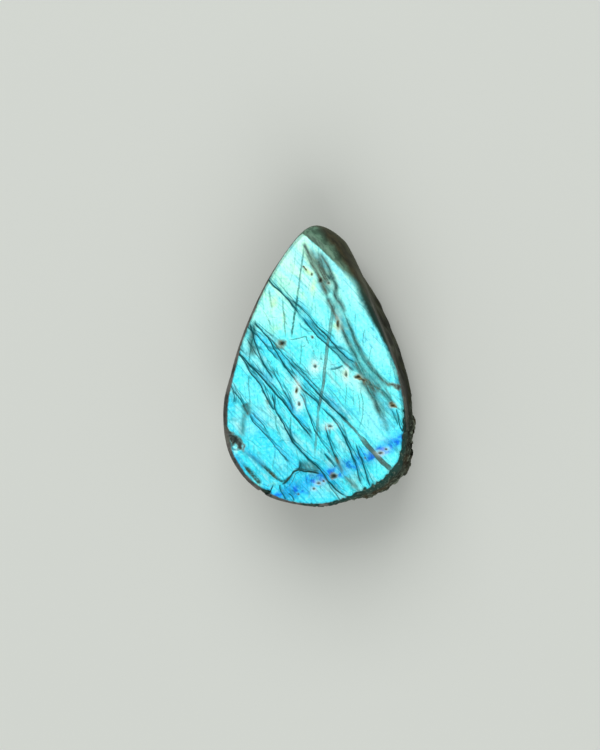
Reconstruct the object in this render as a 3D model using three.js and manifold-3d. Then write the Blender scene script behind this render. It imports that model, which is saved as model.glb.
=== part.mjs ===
// A teardrop of labradorite. One face is ground flat and polished, the shoulder round it is ground to a soft
// roll that is widest at the point, and the lower right rim and the whole back are left as the rough broke.
// The stone is one solid and lies on its back, polished face up.
// Millimetres, +Z up, +Y towards the point. The origin is under the middle of the stone, on the surface below.

import * as THREE from "three";
import { mergeVertices } from "three/addons/utils/BufferGeometryUtils.js";
import Module from "manifold-3d";

// Driving dimensions
const LENGTH = 46; // along Y, from the round end to the point
const WIDTH = 32; // along X, at the widest level
const THICKNESS = 17; // along Z, from the resting face to the polished face
const WIDEST_LEVEL = 8.2; // height of the widest level above the resting face

// Stations round the stone, clockwise from the point as the polished face is seen. Places are shares of WIDTH
// and LENGTH from the middle. face is the edge of the flat polish and body the widest reach below it. roll says
// how much of the way from face to body the ground shoulder takes, and fall how deep it drops in mm. broken is
// 1 where the side is left rough right up to the polish.
const STATIONS = [
  { face: [-0.082, 0.456], body: [-0.045, 0.508], roll: 0.95, fall: 3.6, broken: 0 },
  { face: [0.012, 0.412], body: [0.086, 0.472], roll: 0.95, fall: 5.4, broken: 0 },
  { face: [0.14, 0.326], body: [0.192, 0.352], roll: 0.9, fall: 4.2, broken: 0 },
  { face: [0.236, 0.213], body: [0.292, 0.225], roll: 0.5, fall: 1.4, broken: 0 },
  { face: [0.344, 0.05], body: [0.402, 0.058], roll: 0.3, fall: 0.9, broken: 0.05 },
  { face: [0.416, -0.12], body: [0.464, -0.124], roll: 0.35, fall: 0.9, broken: 0.25 },
  { face: [0.425, -0.255], body: [0.486, -0.272], roll: 0.5, fall: 1.4, broken: 0.9 },
  { face: [0.372, -0.361], body: [0.47, -0.41], roll: 0.5, fall: 2, broken: 1 },
  { face: [0.214, -0.448], body: [0.262, -0.486], roll: 0.6, fall: 1.8, broken: 0.9 },
  { face: [-0.05, -0.491], body: [-0.053, -0.502], roll: 0.9, fall: 0.8, broken: 0.25 },
  { face: [-0.272, -0.45], body: [-0.282, -0.462], roll: 0.9, fall: 0.8, broken: 0.3 },
  { face: [-0.437, -0.326], body: [-0.456, -0.332], roll: 0.9, fall: 0.9, broken: 0.1 },
  { face: [-0.477, -0.178], body: [-0.5, -0.18], roll: 0.9, fall: 1, broken: 0 },
  { face: [-0.437, -0.011], body: [-0.46, -0.003], roll: 0.9, fall: 1, broken: 0 },
  { face: [-0.335, 0.19], body: [-0.356, 0.2], roll: 0.9, fall: 1, broken: 0 },
  { face: [-0.2, 0.364], body: [-0.216, 0.378], roll: 0.9, fall: 1.2, broken: 0 },
];

// The resting face is the body's outline drawn in towards this point
const RESTING_CENTRE = new THREE.Vector2(0.6, -4.6);
const RESTING_SHARE = 0.66;
const BACK_FULLNESS = 0.72; // 1 gives the back a round section, less makes it boxier
const LEAST_LIFT = 0.05; // how far the broken back stays above the resting face

// Rings of points in each stretch of the side, and points round each ring
const AROUND = 156;
const ROLL_RINGS = 6;
const SIDE_RINGS = 6;
const BACK_RINGS = 9;

// Broken surface: hollows a few millimetres across, stepped as cleavage steps them. They only take stone away,
// so the widest level keeps its outline.
const HOLLOW_SIZE = 4.2;
const HOLLOW_DEPTH = 2.2;
const LARGE_SHARE = 0.66; // share of the depth that the large hollows take, and the small ones within them
const SMALL_SHARE = 0.34;
const SMALLER_BY = 2.3;
const CLEAVAGE_STEPS = 5;
const STEPPED_SHARE = 0.6;
const GROUND_DEPTH = 4; // height below the shoulder over which the ground side turns into broken stone

// The back broke along two cleavages: one level with the resting face, one nearly upright, turned this way
const CLEAVAGE_TURN = THREE.MathUtils.degToRad(-33);
const CLEAVAGE_LEAN = THREE.MathUtils.degToRad(4);

// Steps of missing stone between those two cleavages. way is the direction each step opens to, in quarter turns
// from the cleavage's own, start is its distance from the middle and height the level of its ceiling.
const LEDGES = [
  { way: 0, start: 9.4, height: 2.1 },
  { way: 0, start: 12.2, height: 4.6 },
  { way: 1, start: 9.6, height: 1.7 },
  { way: 1, start: 14.8, height: 3.9 },
  { way: 2, start: 8.8, height: 2.6 },
  { way: 3, start: 15.2, height: 2.9 },
];

// Uneven fractures across the cleavage: a point on each and its outward normal
const FRACTURES = [
  { through: [12.6, -15.6, 5.2], normal: [0.66, -0.46, -0.6] },
  { through: [-13.4, -9.2, 3.4], normal: [-0.82, -0.2, -0.54] },
  { through: [-1.2, 19.2, 4.6], normal: [-0.3, 0.7, -0.66] },
];
const SLAB = 60; // side of the block that each piece of missing stone is cut away with

// Nicks in the rim of the polish: where each is on the face's edge, its size and its depth below the face
const NICKS = [
  { at: [-14.6, -11.9], size: [2.4, 2.1], depth: 0.9, turn: 0.5 },
  { at: [-9.4, -20.5], size: [2.6, 0.9], depth: 0.7, turn: -0.6 },
  { at: [-13.4, 3.6], size: [0.9, 1.5], depth: 0.6, turn: 0.4 },
  { at: [14.2, -11.2], size: [1.5, 2.6], depth: 1.1, turn: -0.1 },
];

// A whole-numbered corner of space always gives the same number from 0 to 1
function cornerValue(i, j, k) {
  let mixed = Math.imul(i, 374761393) ^ Math.imul(j, 668265263) ^ Math.imul(k, 2147483647);
  mixed = Math.imul(mixed ^ (mixed >>> 13), 1274126177);
  return ((mixed ^ (mixed >>> 16)) >>> 0) / 4294967295;
}

// Smooth lumps from 0 to 1, one lump to each unit of space
function lumps(x, y, z) {
  const [i, j, k] = [x, y, z].map(Math.floor);
  const [u, v, w] = [x - i, y - j, z - k].map((s) => s * s * (3 - 2 * s));
  const along = (b, c) => THREE.MathUtils.lerp(cornerValue(i, b, c), cornerValue(i + 1, b, c), u);
  const across = (c) => THREE.MathUtils.lerp(along(j, c), along(j + 1, c), v);
  return THREE.MathUtils.lerp(across(k), across(k + 1), w);
}

// How much stone is missing at a point of the broken surface, in mm: hollows of two sizes, partly stepped
function brokenDepth(point) {
  const large = point.clone().divideScalar(HOLLOW_SIZE);
  const small = large.clone().multiplyScalar(SMALLER_BY);
  const smooth = LARGE_SHARE * lumps(...large) + SMALL_SHARE * lumps(...small);
  const stepped = Math.round(smooth * CLEAVAGE_STEPS) / CLEAVAGE_STEPS;
  return HOLLOW_DEPTH * THREE.MathUtils.lerp(smooth, stepped, STEPPED_SHARE);
}

// A closed smooth curve through one value of every station
function roundCurve(vectorAt) {
  return new THREE.CatmullRomCurve3(STATIONS.map(vectorAt), true, "centripetal");
}

const faceEdge = roundCurve(({ face: [x, y] }) => new THREE.Vector3(x * WIDTH, y * LENGTH, THICKNESS));
const bodyEdge = roundCurve(({ body: [x, y] }) => new THREE.Vector3(x * WIDTH, y * LENGTH, WIDEST_LEVEL));
const sideFinish = roundCurve(({ roll, fall, broken }) => new THREE.Vector3(roll, fall, broken));

// The points of one upright line down the stone, from the edge of the polish to the edge of the resting face.
// turn runs from 0 to 1 round the stone.
function sideLine(turn) {
  const face = faceEdge.getPoint(turn);
  const body = bodyEdge.getPoint(turn);
  const { x: roll, y: fall, z: broken } = sideFinish.getPoint(turn);
  const shoulder = face.clone().lerp(body, roll).setZ(THICKNESS - fall);
  const rest = new THREE.Vector3(RESTING_CENTRE.x, RESTING_CENTRE.y, 0);
  rest.lerp(body.clone().setZ(0), RESTING_SHARE);
  const line = [face];

  for (let ring = 1; ring <= ROLL_RINGS; ring++) {
    const angle = (ring / ROLL_RINGS) * (Math.PI / 2);
    const point = face.clone().lerp(shoulder, Math.sin(angle));
    line.push(point.setZ(THICKNESS - fall * (1 - Math.cos(angle))));
  }
  for (let ring = 1; ring <= SIDE_RINGS; ring++) {
    line.push(shoulder.clone().lerp(body, ring / SIDE_RINGS));
  }
  for (let ring = 1; ring <= BACK_RINGS; ring++) {
    const angle = (ring / BACK_RINGS) * (Math.PI / 2);
    const point = body.clone().lerp(rest, 1 - Math.cos(angle) ** BACK_FULLNESS);
    line.push(point.setZ(WIDEST_LEVEL * (1 - Math.sin(angle) ** BACK_FULLNESS)));
  }

  const inward = rest.clone().sub(body).normalize();
  const lowest = line.length - 1;
  return line.map((point, index) => {
    const below = THREE.MathUtils.clamp((shoulder.z - point.z) / GROUND_DEPTH, 0, 1);
    const edgeShare = THREE.MathUtils.clamp(index / ROLL_RINGS, 0, 1);
    const roughness = Math.max(below, THREE.MathUtils.clamp(broken, 0, 1) * edgeShare);
    const moved = point.clone().addScaledVector(inward, roughness * brokenDepth(point));
    return moved.setZ(index === lowest ? 0 : Math.max(moved.z, LEAST_LIFT));
  });
}

// The closed skin of the stone: rings of points joined by triangles, capped by the polish and the resting face
function stoneSkin() {
  const lines = Array.from({ length: AROUND }, (_, step) => sideLine(step / AROUND));
  const rings = lines[0].length;
  const positions = lines.flat().flatMap((point) => point.toArray());
  const corner = (step, ring) => (step % AROUND) * rings + ring;
  const triangles = [];
  for (let step = 0; step < AROUND; step++) {
    for (let ring = 0; ring < rings - 1; ring++) {
      const [a, b] = [corner(step, ring), corner(step + 1, ring)];
      const [c, d] = [corner(step + 1, ring + 1), corner(step, ring + 1)];
      triangles.push(a, b, c, a, c, d);
    }
  }
  const cap = (ring, upward) => {
    const outline = lines.map((line) => new THREE.Vector2(line[ring].x, line[ring].y));
    for (const [a, b, c] of THREE.ShapeUtils.triangulateShape(outline, [])) {
      const around = upward ? [a, b, c] : [a, c, b];
      triangles.push(...around.map((step) => corner(step, ring)));
    }
  };
  cap(0, true);
  cap(rings - 1, false);
  return new THREE.BufferGeometry()
    .setAttribute("position", new THREE.Float32BufferAttribute(positions, 3))
    .setIndex(triangles);
}

const wasm = await Module();
wasm.setup();

// A closed geometry as a solid that can be cut
function solidOf(geometry) {
  const bare = geometry.clone();
  bare.deleteAttribute("normal");
  bare.deleteAttribute("uv");
  const merged = mergeVertices(bare);
  const vertProperties = merged.attributes.position.array;
  const triVerts = new Uint32Array(merged.index.array);
  return new wasm.Manifold(new wasm.Mesh({ numProp: 3, vertProperties, triVerts }));
}

function geometryOf(solid) {
  const { vertProperties, triVerts } = solid.getMesh();
  return new THREE.BufferGeometry()
    .setAttribute("position", new THREE.BufferAttribute(vertProperties, 3))
    .setIndex(new THREE.BufferAttribute(triVerts, 1));
}

// The block of missing stone under one cleavage step
function ledge({ way, start, height }) {
  const block = new THREE.BoxGeometry(SLAB, SLAB, SLAB).translate(SLAB / 2, 0, -SLAB / 2);
  block.rotateY(CLEAVAGE_LEAN).translate(start, 0, height);
  return solidOf(block.rotateZ(CLEAVAGE_TURN + (way * Math.PI) / 2));
}

// The block that takes away everything beyond one fracture
function fracture({ through, normal }) {
  const outward = new THREE.Vector3(...normal).normalize();
  const turned = new THREE.Quaternion().setFromUnitVectors(new THREE.Vector3(0, 0, 1), outward);
  const middle = new THREE.Vector3(...through).addScaledVector(outward, SLAB / 2);
  const place = new THREE.Matrix4().compose(middle, turned, new THREE.Vector3(1, 1, 1));
  return solidOf(new THREE.BoxGeometry(SLAB, SLAB, SLAB).applyMatrix4(place));
}

// A small lump of missing stone, rounded and turned, that bites into the rim of the polish
function nick({ at: [x, y], size: [across, along], depth, turn }) {
  const lump = new THREE.IcosahedronGeometry(0.5, 0).scale(across, along, 2 * depth);
  return solidOf(lump.rotateZ(turn).translate(x, y, THICKNESS));
}

let stone = solidOf(stoneSkin());
for (const step of LEDGES) stone = stone.subtract(ledge(step));
for (const split of FRACTURES) stone = stone.subtract(fracture(split));
for (const bite of NICKS) stone = stone.subtract(nick(bite));

const geometry = geometryOf(stone);
geometry.computeBoundingBox();
const { min, max } = geometry.boundingBox;

const polishedFeldspar = new THREE.MeshStandardMaterial({ color: 0x4fc8dc, roughness: 0.25, metalness: 0.3 });
const labradorite = new THREE.Mesh(geometry, polishedFeldspar);
labradorite.name = "labradorite";
labradorite.position.set(-(min.x + max.x) / 2, -(min.y + max.y) / 2, -min.z);

const part = new THREE.Group();
part.add(labradorite);
export default part;
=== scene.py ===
import math

import bmesh
import bpy
import numpy as np
from mathutils import Matrix, Vector, noise


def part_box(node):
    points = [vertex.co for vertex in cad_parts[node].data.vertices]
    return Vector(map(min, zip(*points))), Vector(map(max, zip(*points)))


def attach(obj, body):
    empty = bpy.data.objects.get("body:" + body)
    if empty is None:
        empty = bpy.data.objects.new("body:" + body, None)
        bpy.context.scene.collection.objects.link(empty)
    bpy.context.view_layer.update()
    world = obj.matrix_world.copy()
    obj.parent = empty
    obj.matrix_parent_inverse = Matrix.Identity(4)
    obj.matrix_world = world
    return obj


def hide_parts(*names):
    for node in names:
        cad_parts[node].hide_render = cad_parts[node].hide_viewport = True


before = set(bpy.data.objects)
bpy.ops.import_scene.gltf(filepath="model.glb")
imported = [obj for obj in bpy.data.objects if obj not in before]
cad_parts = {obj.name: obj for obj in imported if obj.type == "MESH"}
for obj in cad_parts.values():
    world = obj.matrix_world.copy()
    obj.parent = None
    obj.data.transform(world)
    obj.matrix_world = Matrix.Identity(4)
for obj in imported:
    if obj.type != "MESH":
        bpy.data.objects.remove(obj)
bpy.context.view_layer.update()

# The stone: one lump of labradorite, a feldspar whose thin inner layers throw back blue light. It was broken
# from the rock, ground to a teardrop and polished on its face and shoulder, while its lower right rim and its
# back stay as they broke. It lies loose on its back.
MM = 0.001
NODE = "labradorite"
FACE_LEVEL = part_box(NODE)[1].z / MM
SPACING = 0.3  # of the mesh on the sides and back, in mm; the face and its rim have half of it
RIM_DEPTH = 1.3  # how far below the face the fine mesh reaches, in mm
MIDDLE = np.array((0, -3))  # in mm; compass angles run clockwise round it, from 0 at the stone's point

# Round the rim: compass angle, then in mm the depth where grinding ends, the chips' bite, the bevel's width
RIM = [
    (0, 9.5, -1, 0.05),
    (25, 12.0, -1, 0.1),
    (60, 13.0, -1, 0.1),
    (90, 12.0, -0.4, 0.1),
    (108, 7.0, -0.1, 0.1),
    (120, 1.2, 0.25, 0.1),
    (140, 0.2, 0.4, 0.1),
    (157, 0.3, 0.4, 0.1),
    (172, 1.4, 0.2, 0.1),
    (186, 2.6, -0.1, 0.1),
    (210, 2.4, -0.25, 0.12),
    (230, 3.2, -0.3, 0.15),
    (255, 4.6, -0.5, 0.2),
    (285, 5.6, -1, 0.2),
    (320, 6.2, -1, 0.15),
    (360, 9.5, -1, 0.05),
]
GROUND_WANDER, GROUND_WANDER_SIZE = 1.6, 4.0  # how far the grinding's end strays, over which length, in mm
GROUND_STEADY = 1.5  # depth over which it begins to stray
GROUND_BLEND = 0.35  # half the width over which ground stone turns to broken
POLISH_DEPTHS = (0.02, 0.12)  # depths over which the face's own polish ends
BEVEL_SLOPE = 0.5  # how far the bevel falls in each mm of its width
CHIP_CHANGE, CHIP_SIZE = 0.6, 0.7  # how much the chips' bite varies, over which length, in mm
CHIP_EDGE = 0.12  # how wide their edge is; where their bite is below 0 there are few or none

# Larger chips: place on the face, reach across and along in mm, depth, and how broken their floor is
CAVITIES = [
    ((-13.6, -12.8), (1.0, 1.3), 0.3, 0.0),
    ((-8.9, -20.7), (1.2, 0.4), 0.3, 1.0),
    ((6.9, -20.9), (1.1, 0.5), 0.25, 1.0),
]
CAVITY_CHANGE, CAVITY_SIZE = 0.3, 0.9  # how uneven their edges are, over which length in mm
CAVITY_EDGE = (0.75, 1.05)  # shares of their reach over which their floor rises to the face

# The flash's edge: compass angle, then in mm how far past the face's edge it reaches and how wide it fades
FLASH_EDGE = [
    (0, -0.6, 0.3), (3, -0.8, 0.3), (11, -0.6, 0.6), (20, 0.5, 2.0), (27, -0.1, 1.8), (37, -0.2, 1.0),
    (51, 0.1, 0.5), (65, 0.4, 0.4), (80, 0.6, 0.35), (94, 0.4, 0.35), (110, 0.25, 0.3), (125, 0.0, 0.25),
    (205, 0.0, 0.22), (215, -0.12, 0.3), (262, -0.12, 0.3), (275, 0.1, 0.22), (340, 0.2, 0.22),
    (349, 0.3, 0.22), (354, 0.95, 0.22), (356, 0.2, 0.22), (358, -0.4, 0.3), (360, -0.6, 0.3),
]
FLASH_WANDER, FLASH_WANDER_SIZE = 0.1, 0.5  # how far the flash's edge strays, over which length, in mm
NICKED = ((229, 249), (289, 303))  # angles where a nick has taken the face's edge away
SECTOR, FLATNESS = 3, 0.06  # degrees over which the face's edge is measured, and how flat the face is, in mm

# How far the left shoulder swells past the solid's, by compass angle in degrees, in mm
SWELL_ANGLES, SWELLS = (200, 215, 262, 275), (0.0, 0.28, 0.28, 0.0)
SWELL_DEPTHS = (2.0, 6.0)  # depths below the face over which it ends
SWELL_REACH = 3.0  # how far inside the face's edge it begins

ROUNDING = 12  # passes that round the ground skin, each a step out and a step back so that it doesn't shrink
STEP_OUT, STEP_BACK = 0.5, -0.52
BROKEN_ROUNDING = 0.3  # share of that rounding on broken stone

# The broken stone splits along two cleavages, so its ledges are long one way and thin across
CLEAVAGE_TURN = math.radians(-33)
LEDGE_SIZES = ((2.4, 7.0, 1.5), (1.0, 3.0, 0.8))  # across, along and down, in mm
LEDGE_DEPTHS = (1.5, 0.6)  # mm
LEDGE_STEPS = 4  # from the deepest ledge to the highest
GRAIN_SIZE, GRAIN_DEPTH = 0.5, 0.18  # mm
LEDGE_LIFT = 0.5  # how far the ledges' crests stand out from the solid, in mm
RIM_SHARE = 0.25  # share of that depth where the grinding ends
LEDGE_START = (0.4, 4.5)  # how far below there the ledges start to deepen and reach their full depth, in mm
RESTING_HEIGHTS = (0.2, 0.9)  # between these heights the stone is drawn down flat to what it lies on, in mm
CREST_PASSES = 5  # passes that smooth the skin for finding its crests and hollows


def rebuilt_skin(node, spacing):
    """A copy of a solid in millimetres, its skin rebuilt from even squares."""
    blank = bpy.data.objects.new("blank", node.data.copy())
    blank.data.transform(Matrix.Scale(1 / MM, 4))
    bpy.context.scene.collection.objects.link(blank)
    remesh = blank.modifiers.new("skin", "REMESH")
    remesh.mode = "VOXEL"
    remesh.voxel_size = spacing
    graph = bpy.context.evaluated_depsgraph_get()
    skin = bpy.data.meshes.new_from_object(blank.evaluated_get(graph))
    bpy.data.objects.remove(blank)
    return skin


def halve_rim(skin):
    """Halves the squares of the face and its rim, and leaves only triangles."""
    shell = bmesh.new()
    shell.from_mesh(skin)
    lowest = FACE_LEVEL - RIM_DEPTH
    rim = [edge for edge in shell.edges if all(corner.co.z > lowest for corner in edge.verts)]
    bmesh.ops.subdivide_edges(shell, edges=rim, cuts=1, use_grid_fill=True)
    bmesh.ops.triangulate(shell, faces=shell.faces[:])
    shell.to_mesh(skin)
    shell.free()


def eased(values, start, end):
    """0 before start, 1 after end, and a smooth rise between them."""
    share = np.clip((values - start) / (end - start), 0, 1)
    return share * share * (3 - 2 * share)


def lumps(places, size):
    """Smooth lumps of about that size in mm, from -1 to 1, one value for each place."""
    return np.array([noise.noise(Vector(place)) for place in places / size])


def neighbour_mean(values, edges):
    """For each point, the mean of the points that an edge joins it to."""
    total = np.zeros_like(values)
    np.add.at(total, edges[:, 0], values[edges[:, 1]])
    np.add.at(total, edges[:, 1], values[edges[:, 0]])
    return total / np.bincount(edges.ravel(), minlength=len(values))[:, None]


def ledges(places, sizes):
    """Stepped hollows, from 0 to 1, long along the cleavage."""
    cosine, sine = math.cos(CLEAVAGE_TURN), math.sin(CLEAVAGE_TURN)
    along_cleavage = places @ np.array(((cosine, -sine, 0), (sine, cosine, 0), (0, 0, 1)))
    smooth = 0.5 + 0.5 * lumps(along_cleavage, np.array(sizes))
    return np.round(smooth * LEDGE_STEPS) / LEDGE_STEPS


def point_values(field):
    """One vector for each point of the skin."""
    values = np.empty(count * 3, np.float32)
    skin.vertices.foreach_get(field, values)
    return values.reshape(-1, 3).astype(float)


skin = rebuilt_skin(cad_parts[NODE], SPACING)
halve_rim(skin)
count = len(skin.vertices)
points = point_values("co")
edges = np.empty(len(skin.edges) * 2, np.int32)
skin.edges.foreach_get("vertices", edges)
edges = edges.reshape(-1, 2)

# Where the stone is ground and where it is broken
rim_angles, ground_depths, chip_bites, bevel_widths = zip(*RIM)
from_middle = np.hypot(points[:, 0] - MIDDLE[0], points[:, 1] - MIDDLE[1])
compass = np.degrees(np.arctan2(points[:, 0] - MIDDLE[0], points[:, 1] - MIDDLE[1])) % 360
depth = FACE_LEVEL - points[:, 2]
ground_end = FACE_LEVEL - np.interp(compass, rim_angles, ground_depths)
ground_end += GROUND_WANDER * lumps(points, GROUND_WANDER_SIZE) * eased(depth, 0.0, GROUND_STEADY)
broken = eased(ground_end - points[:, 2], -GROUND_BLEND, GROUND_BLEND) * eased(depth, *POLISH_DEPTHS)

# The face's edge is the furthest flat point at each compass angle, and the bevel and the flash end by it
sectors = np.arange(0, 360, SECTOR)
edge_reach = np.zeros(len(sectors))
flat = depth < FLATNESS
np.maximum.at(edge_reach, (compass[flat] / SECTOR).astype(int), from_middle[flat])
nicked = np.any([(sectors > start) & (sectors < end) for start, end in NICKED], axis=0)
edge_reach = np.interp(sectors, sectors[~nicked], edge_reach[~nicked])
edge_reach = (np.roll(edge_reach, 1) + edge_reach + np.roll(edge_reach, -1)) / 3
inside = np.interp(compass, sectors + SECTOR / 2, edge_reach, period=360) - from_middle
bevel = np.interp(compass, rim_angles, bevel_widths)
points[:, 2] -= BEVEL_SLOPE * np.clip(bevel - inside, 0, bevel) * (depth < RIM_DEPTH)
flash_angles, flash_reaches, flash_fades = zip(*FLASH_EDGE)
flash_edge = inside - bevel + np.interp(compass, flash_angles, flash_reaches)
flash_edge += FLASH_WANDER * lumps(points, FLASH_WANDER_SIZE)
flash_edge /= np.interp(compass, flash_angles, flash_fades)

# The swell of the left shoulder, and the chips that bite in from the face's edge
swell = np.interp(compass, SWELL_ANGLES, SWELLS) * (1 - eased(depth, *SWELL_DEPTHS))
swell *= eased(-inside, -SWELL_REACH, 0.0) / np.maximum(from_middle, SWELL_REACH)
points[:, :2] += swell[:, None] * (points[:, :2] - MIDDLE)
bite = np.interp(compass, rim_angles, chip_bites) + CHIP_CHANGE * lumps(points, CHIP_SIZE)
chip = eased(bite - np.maximum(inside, 0), 0.0, CHIP_EDGE) * (depth < RIM_DEPTH)
for spot, (across, along), hollow, rawness in CAVITIES:
    away = np.hypot((points[:, 0] - spot[0]) / across, (points[:, 1] - spot[1]) / along)
    away += CAVITY_CHANGE * lumps(points, CAVITY_SIZE)
    cavity = (1 - eased(away, *CAVITY_EDGE)) * (depth < RIM_DEPTH + hollow)
    chip = np.maximum(chip, rawness * cavity)
    points[:, 2] -= hollow * cavity
broken = np.maximum(broken, chip)

# The ground skin is rounded, and the broken stone is split into ledges and grain
give = (1 - (1 - BROKEN_ROUNDING) * broken)[:, None]
for _ in range(ROUNDING):
    for step in (STEP_OUT, STEP_BACK):
        points += step * give * (neighbour_mean(points, edges) - points)
skin.vertices.foreach_set("co", points.astype(np.float32).ravel())
skin.update()
outward = point_values("normal")
missing = GRAIN_DEPTH * (0.5 + 0.5 * lumps(points, GRAIN_SIZE))
for sizes, step_depth in zip(LEDGE_SIZES, LEDGE_DEPTHS):
    missing += step_depth * ledges(points, sizes)
deepening = RIM_SHARE + (1 - RIM_SHARE) * eased(ground_end - points[:, 2], *LEDGE_START)
points -= outward * ((missing - LEDGE_LIFT) * deepening * broken)[:, None]
points[:, 2] = np.maximum(points[:, 2], 0) * eased(points[:, 2], *RESTING_HEIGHTS)
smoothed = points
for _ in range(CREST_PASSES):
    smoothed = neighbour_mean(smoothed, edges)
crest = np.sum((points - smoothed) * outward, axis=1)

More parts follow.
